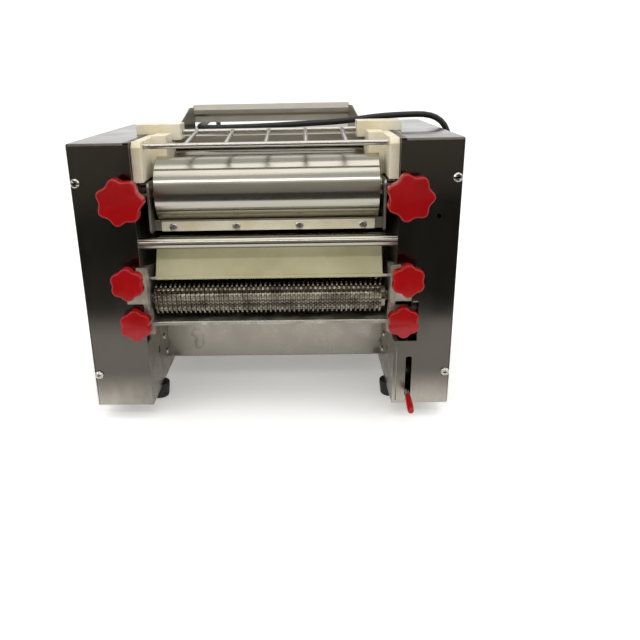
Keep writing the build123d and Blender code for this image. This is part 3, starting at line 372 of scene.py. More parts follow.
# Extruded PVC cord sheath: black satin with an extrusion ripple 3 mm long.
def make_cord_sheath():
    material = new_material("pvc_cord_sheath", "#0b0b0b", 0.0, 0.45, 1.46)
    vary_gloss(material, patches(material, 5), 0.4, 0.55)
    roughen(material, patches(material, 3, 2.0), 0.03)
    return material


# Moulded ABS, black: spark-eroded grain, drawn 0.8 mm wide, with a dull gloss.
def make_black_plastic():
    material = new_material("black_abs", "#1b1b1c", 0.0, 0.42, 1.54)
    vary_gloss(material, patches(material, 4), 0.36, 0.5)
    roughen(material, patches(material, 0.8, 2.0), 0.02)
    return material


# Sintered bronze, oil filled: brown gold and satin, with pores drawn 0.7 mm wide.
def make_bronze():
    material = new_material("sintered_bronze", "#a07a45", 1.0, 0.35)
    vary_gloss(material, patches(material, 3.3), 0.28, 0.45)
    roughen(material, patches(material, 0.7, 2.0), 0.02)
    return material


# Baked alkyd enamel on a steel motor can: mid grey, with an orange peel 2.6 mm wide.
def make_motor_enamel():
    material = new_material("baked_enamel_grey", "#5c6468", 0.0, 0.38, 1.5)
    vary_gloss(material, patches(material, 14), 0.32, 0.46)
    roughen(material, patches(material, 2.6, 2.0), 0.05)
    return material


mirror_steel = make_mirror_steel()
sheet_steel = make_sheet_steel()
floury_steel = make_floury_steel()
smudged_steel = make_smudged_steel()
wall_steel = make_wall_steel()
ground_steel = make_ground_steel()
plated_steel = make_plated_steel()
cutter_steel = make_cutter_steel()
gear_steel = make_gear_steel()
cast_iron = make_cast_iron()
cream_plastic = make_cream_plastic()
khaki_plastic = make_khaki_plastic()
red_plastic = make_red_plastic()
rubber = make_rubber()
cord_sheath = make_cord_sheath()
black_plastic = make_black_plastic()
bronze = make_bronze()
motor_enamel = make_motor_enamel()


# ------------------------ mesh helpers
def finish(bm, name, material, body, replaces=(), bevel=0.0, segments=2, smooth_degrees=35.0):
    """Turns a bmesh into a piece that rides on a body; the bevel is in millimetres."""
    bmesh.ops.remove_doubles(bm, verts=bm.verts, dist=WELD)
    bmesh.ops.recalc_face_normals(bm, faces=bm.faces)
    mesh = bpy.data.meshes.new(name)
    bm.to_mesh(mesh)
    bm.free()
    mesh.shade_smooth()
    mesh.set_sharp_from_angle(angle=math.radians(smooth_degrees))
    mesh.materials.append(material)
    piece = bpy.data.objects.new(name, mesh)
    bpy.context.scene.collection.objects.link(piece)
    if bevel:
        edges = piece.modifiers.new("edges", "BEVEL")
        edges.width = bevel * MM
        edges.segments = segments
        edges.limit_method = "ANGLE"
        edges.angle_limit = math.radians(40)
        edges.harden_normals = True
    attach(piece, body)
    if replaces:
        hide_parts(*replaces)
    return piece


def verts_of(made):
    """The vertices among the elements that an operator made."""
    return [item for item in made if isinstance(item, bmesh.types.BMVert)]


def edges_of(made):
    """The edges among the elements that an operator made."""
    return [item for item in made if isinstance(item, bmesh.types.BMEdge)]


def is_level(edge):
    """Whether both ends of an edge have one Z."""
    return abs(edge.verts[0].co.z - edge.verts[1].co.z) < 1e-6


def turned(axis):
    """The rotation that lays a local Z axis along the given direction."""
    return Vector((0, 0, 1)).rotation_difference(axis).to_matrix().to_4x4()


def add_block(bm, across, back, up):
    """A block between two places along x, depth and height."""
    low, high = (at(*corner) for corner in zip(across, back, up))
    scale = Matrix.Diagonal((*(high - low), 1))
    bmesh.ops.create_cube(bm, size=1.0, matrix=Matrix.Translation((low + high) / 2) @ scale)


def add_bar(bm, start, end, radius, segments=40):
    """A round bar between two points."""
    axis = end - start
    bmesh.ops.create_cone(
        bm, cap_ends=True, segments=segments, radius1=radius * MM, radius2=radius * MM,
        depth=axis.length, matrix=Matrix.Translation((start + end) / 2) @ turned(axis),
    )


def add_lathe(bm, start, axis, profile, segments=48):
    """Spins (along, radius) millimetre points round an axis."""
    axis = axis.normalized()
    side = axis.orthogonal().normalized()
    verts = [bm.verts.new(start + (axis * along + side * radius) * MM) for along, radius in profile]
    edges = [bm.edges.new(pair) for pair in zip(verts, verts[1:])]
    bmesh.ops.spin(
        bm, geom=verts + edges, cent=start, axis=axis, angle=2 * math.pi, steps=segments,
        use_merge=True, use_duplicate=False,
    )


def add_prism(bm, outline, x0, x1):
    """A plate across x whose outline is (depth, height) points."""
    face = bm.faces.new([bm.verts.new(at(x0, depth, height)) for depth, height in outline])
    made = bmesh.ops.extrude_face_region(bm, geom=[face])["geom"]
    bmesh.ops.translate(bm, verts=verts_of(made), vec=Vector(((x1 - x0) * MM, 0, 0)))


def rounded_path(points, radius, steps=5, closed=False):
    """The same path with its corners rounded."""
    count = len(points)
    inner = range(count) if closed else range(1, count - 1)
    path = [] if closed else [Vector(points[0])]
    for index in inner:
        corner = Vector(points[index])
        back = Vector(points[index - 1]) - corner
        ahead = Vector(points[(index + 1) % count]) - corner
        angle = back.angle(ahead)
        if angle > math.radians(178):
            path.append(corner)
            continue
        cut = min(radius / math.tan(angle / 2), 0.45 * back.length, 0.45 * ahead.length)
        bend = cut * math.tan(angle / 2)
        inward = (back.normalized() + ahead.normalized()).normalized()
        centre = corner + inward * (bend / math.sin(angle / 2))
        first = corner + back.normalized() * cut - centre
        last = corner + ahead.normalized() * cut - centre
        for step in range(steps + 1):
            path.append(centre + first.lerp(last, step / steps).normalized() * bend)
    return path if closed else path + [Vector(points[-1])]


def add_folded_sheet(bm, half_span, points, thickness, radius=2.5):
    """A sheet folded along (depth, height) points, with its thickness on the right of the path."""
    path = rounded_path(points, radius)
    last = len(path) - 1
    under = []
    for index, point in enumerate(path):
        ahead = path[min(index + 1, last)] - path[max(index - 1, 0)]
        under.append(point + Vector((ahead.y, -ahead.x)).normalized() * thickness)
    top, low = [[bm.verts.new(at(-half_span, *point)) for point in row] for row in (path, under)]
    faces = [bm.faces.new((top[i], top[i + 1], low[i + 1], low[i])) for i in range(last)]
    made = bmesh.ops.extrude_face_region(bm, geom=faces)["geom"]
    bmesh.ops.translate(bm, verts=verts_of(made), vec=Vector((2 * half_span * MM, 0, 0)))


def take_in(bm, small, place):
    """Puts a small shape in its place and joins it to a larger one."""
    bmesh.ops.transform(small, matrix=place, verts=small.verts)
    bmesh.ops.recalc_face_normals(small, faces=small.faces)
    mesh = bpy.data.meshes.new("joined")
    small.to_mesh(mesh)
    small.free()
    bm.from_mesh(mesh)
    bpy.data.meshes.remove(mesh)


# ------------------------ power cord
# Out of the back, up and over the top to the right, down the side, and back to a coil and the plug.
cord_exit = (-95, 351, 200)
cord_line = [
    cord_exit, (-95, 388, 200), (-95, 414, 226), (-95, 414, 296), (-95, 388, 322),
    (-95, 316, 322.6), (-95, 237, 318.9), (-95, 152, 318.2), (-10, 152, 319.4), (44, 152.4, 321.9),
    (92, 152.6, 323.6), (147.5, 153, 330.8), (230.8, 157, 330.8), (231.5, 162, 247),
    (232.5, 172, 165), (234, 182, 84), (235, 192, -15.95), (236, 284, -15.95),
    (208, 350, -15.95),
]
coil_x, coil_depth = 150.0, 405.0
coil_radius = 42.7
coil_floor = -15.95
coil_pitch = 2 * cord_radius
coil_steps = 12
coil_turns = 3.25
for step in range(int(coil_turns * coil_steps) + 1):
    turn = step / coil_steps
    cord_line.append((
        coil_x + coil_radius * math.cos(2 * math.pi * turn),
        coil_depth + coil_radius * math.sin(2 * math.pi * turn),
        coil_floor + coil_pitch * turn,
    ))
plug_x, plug_depth, plug_height = 88, 446.25, -1.7
cord_line += [(126, plug_depth, 6.9), (108, plug_depth, 0.3), (plug_x, plug_depth, plug_height)]

cord_curve = bpy.data.curves.new("power_cord_line", "CURVE")
cord_curve.dimensions = "3D"
cord_curve.bevel_depth = cord_radius * MM
cord_curve.bevel_resolution = 5
cord_curve.resolution_u = 8
cord_curve.use_fill_caps = True
spline = cord_curve.splines.new("NURBS")
spline.points.add(len(cord_line) - 1)
for point, place in zip(spline.points, cord_line):
    point.co = (*at(*place), 1.0)
spline.order_u = 3
spline.use_endpoint_u = True
cord = bpy.data.objects.new("mains_cord", cord_curve)
bpy.context.scene.collection.objects.link(cord)
cord_curve.materials.append(cord_sheath)
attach(cord, "frame")
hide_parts("power_cord", "cord_coil", "cord_tail")

bm = bmesh.new()
add_lathe(bm, at(plug_x, plug_depth, plug_height), Vector((-1, 0, 0)), [
    (0, 0), (0, 5.6), (2, 6.0), (8, 7.6), (10, 9.4), (20, 12.6), (24, 15.0), (26, 17.0), (28, 18.0),
    (46, 18.0), (48.5, 17.2), (50, 15.5), (50, 0),
], 56)
plug = finish(bm, "mains_plug", black_plastic, "frame", ("power_plug",), smooth_degrees=40)

bm = bmesh.new()
pin_x = plug_x - 49.5
pin_offset = 9.5
for depth in (plug_depth - pin_offset, plug_depth + pin_offset):
    add_lathe(bm, at(pin_x, depth, plug_height), Vector((-1, 0, 0)), [
        (0, 0), (0, 2.4), (18, 2.4), (19.2, 1.8), (19.5, 0.9), (19.5, 0),
    ], 24)
plug_pins = finish(bm, "plug_pins", plated_steel, "frame")

# strain relief: a nut against the rear panel and a stepped sleeve
bm = bmesh.new()
exit_x, _, exit_height = cord_exit
nut_end = body_depth + 12
nut_faces = [at(exit_x, depth, exit_height) for depth in (body_depth, nut_end)]
add_bar(bm, *nut_faces, 11.0, segments=6)
add_lathe(bm, at(exit_x, nut_end - 1, exit_height), Vector((0, 1, 0)), [
    (0, 0), (0, 7.4), (2, 7.4), (3, 6.9), (4.5, 6.9), (5.5, 6.6), (7.5, 6.6), (8.5, 6.2),
    (10.5, 6.2), (11.5, 5.9), (13.5, 5.9), (14.5, 5.6), (16.5, 5.6), (17.5, 5.3), (19.5, 5.3),
    (20.5, 5.0), (25, 4.8), (27, 4.4), (27, 0),
], 40)
finish(bm, "cord_relief", rubber, "frame", ("cord_gland",), bevel=0.3)


# ------------------------ side boxes
# An opening in a front, measured outwards from the middle of the machine and up from the floor.
Opening = namedtuple("Opening", "left right low high rounded")


def inside(point, sign, opening, slack=0.0):
    """Whether a point of the front sheet lies within an opening."""
    x = sign * point.x / MM
    height = (point.z - FLOOR_Z) / MM
    on_front = point.y - FRONT_Y < 0.1 * MM
    across = opening.left - slack < x < opening.right + slack
    return on_front and across and opening.low - slack < height < opening.high + slack


def round_opening(bm, sign, opening):
    """Turns the ends of a narrow opening into half circles, and a square one into a circle."""
    width = opening.right - opening.left
    tall = opening.high - opening.low > 2 * width
    rim = [edge for edge in bm.edges if edge.is_boundary
           and all(inside(vert.co, sign, opening, 0.05) for vert in edge.verts)]
    level = [edge for edge in rim if is_level(edge)]
    bmesh.ops.subdivide_edges(bm, edges=level if tall else rim, cuts=9)
    half = width / 2
    middle_x = opening.left + half
    for vert in bm.verts:
        if not vert.is_boundary or not inside(vert.co, sign, opening, 0.05):
            continue
        x = sign * vert.co.x / MM - middle_x
        height = (vert.co.z - FLOOR_Z) / MM
        nearest = min(max(height, opening.low + half), opening.high - half)
        away = math.hypot(x, height - nearest)
        if away > 1e-6 and (abs(height - nearest) > 1e-6 or not tall):
            vert.co.x = sign * (middle_x + x * half / away) * MM
            vert.co.z = FLOOR_Z + (nearest + (height - nearest) * half / away) * MM


def add_wrap(bm, sign, outer_x, openings, thickness=1.5, radius=3.0):
    """A sheet wrapped round front, top, back and floor of a side box, with openings in its front.

    The front reaches over the edge of the wall plate, and the rest begins outside it."""
    height_cuts = sorted({height for opening in openings for height in (opening.low, opening.high)})
    x_cuts = {inner_x, wall_outer_x, outer_x}
    x_cuts.update(x for opening in openings for x in (opening.left, opening.right))
    x_cuts = sorted(x_cuts)
    path = [(0.0, 0.0)] + [(0.0, height) for height in height_cuts]
    path += [(0.0, body_height), (body_depth, body_height), (body_depth, 0.0)]
    ring = rounded_path(path, radius, closed=True)
    verts = [bm.verts.new(at(sign * inner_x, *point)) for point in ring]
    edges = [bm.edges.new((verts[index - 1], verts[index])) for index in range(len(verts))]
    for near, far in zip(x_cuts, x_cuts[1:]):
        made = bmesh.ops.extrude_edge_only(bm, edges=edges)["geom"]
        edges = edges_of(made)
        bmesh.ops.translate(bm, verts=verts_of(made), vec=Vector((sign * (far - near) * MM, 0, 0)))
    middles = [(face, face.calc_center_median()) for face in bm.faces]
    behind = [face for face, centre in middles
              if abs(centre.x) < wall_outer_x * MM and centre.y - FRONT_Y > 0.1 * MM]
    bmesh.ops.delete(bm, geom=behind, context="FACES")
    for opening in openings:
        cut_out = [face for face in bm.faces if inside(face.calc_center_median(), sign, opening)]
        bmesh.ops.delete(bm, geom=cut_out, context="FACES")
        if opening.rounded:
            round_opening(bm, sign, opening)
    bmesh.ops.recalc_face_normals(bm, faces=bm.faces)
    bmesh.ops.solidify(bm, geom=bm.faces[:], thickness=thickness * MM)


left_window = Opening(inner_x, 168.0, 98.0, 120.0, False)
right_window = Opening(inner_x, 174.0, 82.0, 132.0, False)
lever_slot = Opening(160.6, 170.8, 10.0, 62.0, True)
fold_groove = Opening(150.6, 152.0, 4.0, 78.0, True)
small_hole = Opening(188.6, 194.4, 228.1, 233.9, True)
box_openings = {"left": [left_window], "right": [right_window, lever_slot, fold_groove, small_hole]}
wrap_outer_x = 213.6
cover_inner_x = 213.8
for sign, side in both_sides:
    bm = bmesh.new()
    add_wrap(bm, sign, wrap_outer_x, box_openings[side])
    finish(bm, f"{side}_box_wrap", mirror_steel, "frame", (f"{side}_side_housing",), bevel=0.35)

bm = bmesh.new()
side_outline = [(0, 0), (0, body_height), (body_depth, body_height), (body_depth, 0)]
side_outline = [tuple(point) for point in rounded_path(side_outline, 3.0, closed=True)]
for sign, _ in both_sides:
    add_prism(bm, side_outline, sign * cover_inner_x, sign * half_width)
finish(bm, "cover_sheets", mirror_steel, "frame", ("side_covers",), bevel=0.35)


def add_screw(bm, head, axis, radius, rise):
    """A pan-head screw with a cross recess, set on a face along the given axis."""
    screw = bmesh.new()
    rim = bmesh.ops.create_circle(screw, segments=32, radius=radius * MM)["verts"]
    outline = list({edge for vert in rim for edge in vert.link_edges})
    bmesh.ops.contextual_create(screw, geom=outline)
    # a short wall, and a dome in two steps
    for lift, shrink in ((0.35, 1.0), (0.35, 0.88), (0.3, 0.76)):
        made = bmesh.ops.extrude_edge_only(screw, edges=outline)["geom"]
        outline = edges_of(made)
        bmesh.ops.translate(screw, verts=verts_of(made), vec=Vector((0, 0, lift * rise * MM)))
        bmesh.ops.scale(screw, verts=verts_of(made), vec=Vector((shrink, shrink, 1)))
    # the twelve corners of the cross, sunk into the flat top
    arm, half, top = 0.55 * radius * MM, 0.11 * radius * MM, rise * MM
    corners = []
    for quarter in range(4):
        turn = Matrix.Rotation(quarter * math.pi / 2, 4, "Z")
        for x, y in ((arm, -half), (arm, half), (half, half)):
            corners.append(screw.verts.new(turn @ Vector((x, y, top))))
    cross = [screw.edges.new((corners[index - 1], corners[index])) for index in range(len(corners))]
    bmesh.ops.bridge_loops(screw, edges=outline + cross)
    sunk = bmesh.ops.extrude_edge_only(screw, edges=cross)["geom"]
    bmesh.ops.translate(screw, verts=verts_of(sunk), vec=Vector((0, 0, -0.28 * rise * MM)))
    bmesh.ops.contextual_create(screw, geom=edges_of(sunk))
    take_in(bm, screw, Matrix.Translation(head) @ turned(axis))


toward_front = Vector((0, -1, 0))
toward_back = Vector((0, 1, 0))
toward_right = Vector((1, 0, 0))

cover_screw_x = half_width - 5.5
cover_screw_heights = (42.0, body_height - 42.0)
bm = bmesh.new()
for sign, _ in both_sides:
    for height in cover_screw_heights:
        add_screw(bm, at(sign * cover_screw_x, 0, height), toward_front, radius=5.5, rise=2.9)
finish(bm, "cover_screw_heads", plated_steel, "frame", ("cover_screws",), bevel=0.25)

foot_x = 154.0
foot_depths = (70.0, 268.0)
bm = bmesh.new()
for sign, _ in both_sides:
    for depth in foot_depths:
        add_lathe(bm, at(sign * foot_x, depth, 0), Vector((0, 0, -1)), [
            (0, 0), (0, 14.0), (4, 14.0), (17, 12.4), (19, 11.8), (foot_height, 10.8),
            (foot_height, 5.0), (15, 4.4), (15, 0),
        ], 48)
finish(bm, "rubber_foot_set", rubber, "frame", ("rubber_feet",), bevel=0.4)


# ------------------------ star knobs
def smooth_hollows(lobes, turn):
    """How far an outline has sunk at an angle: an even wave, 0 on a lobe and 1 in a hollow."""
    return lambda angle: (1 - math.cos(lobes * (angle - turn))) / 2


def petal_hollows(lobes, turn):
    """The same for round petals with narrow hollows between them."""
    return lambda angle: 1.04 - math.hypot(math.cos(lobes * (angle - turn) / 2), 0.2)


def add_star(bm, front, radius, lobes, hollow, sunk, thickness, rim):
    """The head of a star knob, behind its front middle: a wavy disc with rounded rims."""
    head = bmesh.new()
    made = bmesh.ops.create_circle(head, cap_ends=True, segments=lobes * 16, radius=radius * MM)
    for vert in made["verts"]:
        vert.co *= 1 - hollow / radius * sunk(math.atan2(vert.co.y, vert.co.x))
    made = bmesh.ops.extrude_face_region(head, geom=head.faces[:])["geom"]
    bmesh.ops.translate(head, verts=verts_of(made), vec=Vector((0, 0, -thickness * MM)))
    rims = [edge for edge in head.edges if is_level(edge)]
    bmesh.ops.bevel(
        head, geom=rims, offset=rim * MM, offset_type="OFFSET", segments=5, profile=0.5,
        affect="EDGES", material=-1,
    )
    take_in(bm, head, Matrix.Translation(front) @ Matrix.Rotation(math.pi / 2, 4, "X"))


gap_knob_front = -32.0
gap_knob_lobes = 7
gap_hollows = smooth_hollows(gap_knob_lobes, math.radians(2.0))
clamp_knob_lobes = 6
clamp_hollows = petal_hollows(clamp_knob_lobes, math.radians(32.0))
clamp_places = (("upper", 165.0, -33.5), ("lower", 109.0, -13.5))  # level, height, front depth
for sign, side in both_sides:
    x = sign * gap_knob_x
    bm = bmesh.new()
    add_star(
        bm, at(x, gap_knob_front, roller_height), radius=26.0, lobes=gap_knob_lobes, hollow=4.0,
        sunk=gap_hollows, thickness=16.0, rim=2.2,
    )
    add_lathe(bm, at(x, gap_knob_front + 15.0, roller_height), toward_back, [
        (0, 0), (0, 16.5), (1.5, 15.2), (4, 14.2), (8, 13.9), (9, 13.4), (9, 0),
    ], 48)
    body = f"{side}_gap_knob_assembly"
    finish(bm, f"{side}_gap_star", red_plastic, body, (f"{side}_gap_knob",), smooth_degrees=50)
    bm = bmesh.new()
    add_lathe(bm, at(x, gap_knob_front + 24.0, roller_height), toward_back, [
        (0, 0), (0, 6.0), (45.7, 6.0), (46.5, 5.2), (46.5, 0),
    ], 40)
    finish(bm, f"{side}_gap_screw", plated_steel, body)
    for level, height, depth in clamp_places:
        x = sign * clamp_knob_x
        bm = bmesh.new()
        add_star(
            bm, at(x, depth, height), radius=19.0, lobes=clamp_knob_lobes, hollow=3.4,
            sunk=clamp_hollows, thickness=13.0, rim=1.9,
        )
        add_lathe(bm, at(x, depth + 12.0, height), toward_back, [
            (0, 0), (0, 11.5), (1.2, 10.0), (3, 9.2), (17.6, 9.0), (18.5, 8.4), (18.5, 0),
        ], 40)
        body = f"{side}_{level}_clamp"
        finish(bm, f"{side}_{level}_star", red_plastic, body, (f"{body}_knob",), smooth_degrees=50)

# ------------------------ rollers
shaft_start, shaft_end = roller_shaft_x
shaft_radius = 12.5
barrel = (
    (-roller_half, roller_radius - 0.5), (-roller_half + 0.5, roller_radius),
    (roller_half - 0.5, roller_radius), (roller_half, roller_radius - 0.5),
)
roller_outline = (
    (shaft_start, 0), (shaft_start, shaft_radius - 1), (shaft_start + 1, shaft_radius),
    (-roller_half, shaft_radius), *barrel, (roller_half, shaft_radius),
    (shaft_end - 1, shaft_radius), (shaft_end, shaft_radius - 1), (shaft_end, 0),
)
for end, depth, body in (
    ("front", front_roller_depth, "front_roller_assembly"),
    ("rear", rear_roller_depth, "rear_roller_assembly"),
):
    bm = bmesh.new()
    add_lathe(bm, at(0, depth, roller_height), toward_right, roller_outline, 160)
    finish(bm, f"{end}_roller_barrel", ground_steel, body, (f"{end}_roller",))

_, tie_bar_depth, tie_bar_height = middle("front_tie_bar")
bm = bmesh.new()
tie_bar_ends = [at(x, tie_bar_depth, tie_bar_height) for x in (-inner_x, inner_x)]
add_bar(bm, *tie_bar_ends, 6.5, segments=72)
finish(bm, "tie_bar_round", ground_steel, "frame", ("front_tie_bar",))

# ------------------------ noodle cutters
tooth_count = 30
tooth_depth = 0.8
ring_bore = cutter_core - 1
spacer_radius = cutter_core + 0.4
spacer_gap = 0.1
spacer_width = ring_pitch - ring_width - 2 * spacer_gap


def add_toothed_ring(bm, x, depth, width, radius, offset):
    """A ring along x with low pointed teeth; the offset shifts them by parts of a tooth."""
    ring = bmesh.new()
    add_lathe(ring, Vector(), Vector((0, 0, 1)), [
        (0, ring_bore), (0, radius - 0.25), (0.25, radius), (width - 0.25, radius),
        (width, radius - 0.25), (width, ring_bore),
    ], 2 * tooth_count)
    for vert in ring.verts:
        step = round(math.atan2(vert.co.y, vert.co.x) * tooth_count / math.pi + offset)
        if step % 2 and vert.co.xy.length > (ring_bore + 0.5) * MM:
            vert.co.xy *= 1 - tooth_depth / radius
    place = Matrix.Translation(at(x, depth, cutter_height)) @ Matrix.Rotation(math.pi / 2, 4, "Y")
    take_in(bm, ring, place)


core_start, core_end = cutter_shaft_x
journal_radius = 8.0
sleeve_radius = cutter_core - 0.6
sleeve_start, sleeve_end = -136.4, 136.4
cutter_outline = (
    (core_start, 0), (core_start, journal_radius), (sleeve_start, journal_radius),
    (sleeve_start, sleeve_radius - 0.5), (sleeve_start + 0.5, sleeve_radius),
    (sleeve_end - 0.5, sleeve_radius), (sleeve_end, sleeve_radius - 0.5),
    (sleeve_end, journal_radius), (core_end, journal_radius), (core_end, 0),
)
for end, depth, shift in (
    ("front", front_cutter_depth, 0.0), ("rear", rear_cutter_depth, noodle_width),
):
    body = f"{end}_cutter"
    first_x = -ring_count * ring_pitch / 2 + shift
    bm = bmesh.new()
    for index in range(ring_count):
        x = first_x + index * ring_pitch
        add_toothed_ring(bm, x, depth, ring_width, cutter_radius, 0)
        if index:
            spacer_x = x - spacer_width - spacer_gap
            add_toothed_ring(bm, spacer_x, depth, spacer_width, spacer_radius, 1)
    finish(bm, f"{end}_ring_stack", cutter_steel, body, (f"{end}_cutter_rings",))
    bm = bmesh.new()
    add_lathe(bm, at(0, depth, cutter_height), toward_right, cutter_outline, 64)
    finish(bm, f"{end}_cutter_core", cutter_steel, body, (f"{end}_cutter_shaft",))

# ------------------------ guides, guard and covers
sheet_thickness = 1.5
bm = bmesh.new()
chute = [(12, 101), (12, 105), (92, 105.6), (117.3, 117.6)]
add_folded_sheet(bm, bracket_x, chute, sheet_thickness, 1.6)
finish(bm, "chute_tray", floury_steel, "frame", ("output_chute",), bevel=0.3)
bm = bmesh.new()
add_bar(bm, at(-bracket_x, 13.2, 104.6), at(bracket_x, 13.2, 104.6), 1.2, segments=24)
finish(bm, "chute_rolled_edge", plated_steel, "frame")

bay_depth, bay_floor, bay_top, bay_back = 118, 15, 188, 311.5
bm = bmesh.new()
add_folded_sheet(bm, inner_x, [
    (bay_back, bay_floor), (bay_depth, bay_floor), (bay_depth, bay_top), (bay_back, bay_top),
], sheet_thickness)
finish(bm, "bay_tray", smudged_steel, "frame", ("motor_bay_shell",), bevel=0.3)

bm = bmesh.new()
add_folded_sheet(bm, inner_x, [(150, 295), (150, 311), (bay_back, 311)], sheet_thickness)
finish(bm, "bridge_tray", sheet_steel, "frame", ("bridge_cover",), bevel=0.3)

# guide plate on its pins
guide_lean = math.radians(33)
guide_half, guide_thickness, guide_length = 133, 3, 52
pivot_to_middle = 24
pin_end = 145.5
pivot_depth, pivot_height, pivot_radius = 14, 160, 2.4
along = Vector((0, math.sin(guide_lean), math.cos(guide_lean)))
plate_size = Vector((2 * guide_half, guide_thickness, guide_length)) * MM
plate_middle = at(0, pivot_depth, pivot_height) + along * pivot_to_middle * MM
plate_place = Matrix.Translation(plate_middle) @ Matrix.Rotation(-guide_lean, 4, "X")
bm = bmesh.new()
bmesh.ops.create_cube(bm, size=1.0, matrix=plate_place @ Matrix.Diagonal((*plate_size, 1)))
barrel_ends = [at(x, pivot_depth, pivot_height) for x in (-guide_half, guide_half)]
add_bar(bm, *barrel_ends, pivot_radius, segments=32)
finish(bm, "guide_plate", khaki_plastic, "flap", ("sheet_flap",), bevel=0.6)
bm = bmesh.new()
for sign, _ in both_sides:
    pin_ends = [at(sign * x, pivot_depth, pivot_height) for x in (guide_half, pin_end)]
    add_bar(bm, *pin_ends, pivot_radius, segments=28)
finish(bm, "guide_plate_pins", plated_steel, "flap", bevel=0.3)

# feed lip, folded with a rib, and its two gussets
bm = bmesh.new()
lip_half = 104
add_folded_sheet(bm, lip_half, [
    (199.5, 323), (200.7, 330.6), (197.3, 333.4), (197.7, 338.6), (199.8, 344.2), (214, 345),
    (215, 339),
], sheet_thickness, 1.0)
gusset = (
    (lip_half, 200, 311), (122, 150, 311), (122, 150, 314), (107.8, 189, 342), (lip_half, 200, 342),
)
for sign, _ in both_sides:
    face = bm.faces.new([bm.verts.new(at(sign * x, depth, height)) for x, depth, height in gusset])
    face.normal_update()
    inward = face.normal * sheet_thickness * MM * (1 if face.normal.x * sign < 0 else -1)
    made = bmesh.ops.extrude_face_region(bm, geom=[face])["geom"]
    bmesh.ops.translate(bm, verts=verts_of(made), vec=inward)
finish(bm, "feed_lip_sheet", sheet_steel, "frame", ("feed_lip",), bevel=0.3)

# guard of welded wire: two rails, and bars between them with a weld bead at each end
guard_front, guard_rear = (25, 309), (125, 316.5)
bead_depth, bead_rise = 2.42, 0.176
bar_spacing = 45.0
bm = bmesh.new()
for half_span, rail in ((139, guard_front), (133, guard_rear)):
    add_bar(bm, at(-half_span, *rail), at(half_span, *rail), 3.0, segments=36)
for index in range(-2, 3):
    x = bar_spacing * index
    add_bar(bm, at(x, *guard_front), at(x, *guard_rear), 2.5, segments=28)
    for (depth, height), inward in ((guard_front, 1), (guard_rear, -1)):
        bead = at(x, depth + bead_depth * inward, height + bead_rise * inward)
        bmesh.ops.create_uvsphere(
            bm, u_segments=16, v_segments=10, radius=3.1 * MM, matrix=Matrix.Translation(bead),
        )
finish(bm, "guard_wires", plated_steel, "guard", ("safety_guard",), bevel=0.5)

# scraper of the front roller: arms with their pins, blade, backing bar and its screws
arm_inner_x, arm_outer_x = 132.2, 134.8
pin_depth, pin_height = 41.5, 266
scraper_floor = 212
blade_half, blade_top = 132.4, 224.4
bar_half, bar_top = 124, 223
bar_front, bar_back = 28, 33
scraper_screw_x = (-110.0, -36.67, 36.67, 110.0)
scraper_screw_height = 217
scraper_arm = rounded_path([
    (13, scraper_floor), (37, scraper_floor), (39, 238), (36, 246), (36, 258), (44, 263),
    (44, 269.5), (15, 269.5),
], 5.0, closed=True)
bm = bmesh.new()
for sign, _ in both_sides:
    add_prism(bm, [tuple(point) for point in scraper_arm], sign * arm_inner_x, sign * arm_outer_x)
    pin_ends = [at(sign * x, pin_depth, pin_height) for x in (134.5, inner_x)]
    add_bar(bm, *pin_ends, 2.5, segments=24)
add_block(bm, (-blade_half, blade_half), (bar_back, bar_back + 1), (scraper_floor, blade_top))
finish(bm, "scraper_arms_and_blade", sheet_steel, "roller_carriage", ("scraper_blade",), bevel=0.35)
bm = bmesh.new()
add_block(bm, (-bar_half, bar_half), (bar_front, bar_back), (scraper_floor, bar_top))
finish(
    bm, "scraper_backing_bar", cream_plastic, "roller_carriage", ("scraper_bar",), bevel=0.9,
    segments=3,
)
bm = bmesh.new()
for x in scraper_screw_x:
    place = at(x, bar_front, scraper_screw_height)
    add_screw(bm, place, toward_front, radius=4.6, rise=1.45)
finish(bm, "scraper_bar_screws", plated_steel, "roller_carriage", ("scraper_screws",), bevel=0.15)

# comb whose tines reach under the rear cutter
comb_front, comb_floor, comb_top = 85, 112, 128
tine_half = 0.7
tine = [(86, 112.6), (86, 116.5), (76, 115.0), (62, 114.9), (61, 113.6), (76, 112.6)]
first_tine_x = (ring_width + ring_pitch - ring_count * ring_pitch) / 2 + noodle_width
bm = bmesh.new()
add_block(bm, (-bracket_x, bracket_x), (comb_front, comb_front + 4), (comb_floor, comb_top))
for index in range(ring_count - 1):
    x = first_tine_x + index * ring_pitch
    add_prism(bm, tine, x - tine_half, x + tine_half)
finish(bm, "cutter_comb", sheet_steel, "frame", ("cutter_comb_bar",))

# clutch lever grip, on the end of its rod
lever_x, lever_depth, lever_height = 164.6, 45.0, 29
lever_angle = math.radians(13.6)
lever_reach = 42.0
grip_radius = 4.0
grip_length = 32.0
aim = Vector((0, -math.cos(lever_angle), -math.sin(lever_angle)))
end_drop = grip_radius * math.sin(lever_angle)
lever_length = (lever_depth + lever_reach - end_drop) / math.cos(lever_angle)
grip_start = at(lever_x, lever_depth, lever_height) + aim * (lever_length - grip_length) * MM
bm = bmesh.new()
add_lathe(bm, grip_start, aim, [
    (0, 0), (0, 2.8), (0.8, 3.3), (8, 3.7), (20, grip_radius), (27, 3.9), (30.2, 3.2), (31.6, 1.8),
    (grip_length, 0),
], 40)
finish(bm, "lever_handle", red_plastic, "lever", ("lever_grip",), smooth_degrees=60)

# small screws on the inner walls
bm = bmesh.new()
for sign in (-1, 1):
    for depth, height in ((92, 56), (104, 30)):
        add_screw(bm, at(sign * inner_x, depth, height), toward_right * -sign, radius=4.2, rise=2.2)
finish(bm, "wall_screws", plated_steel, "frame", bevel=0.15)


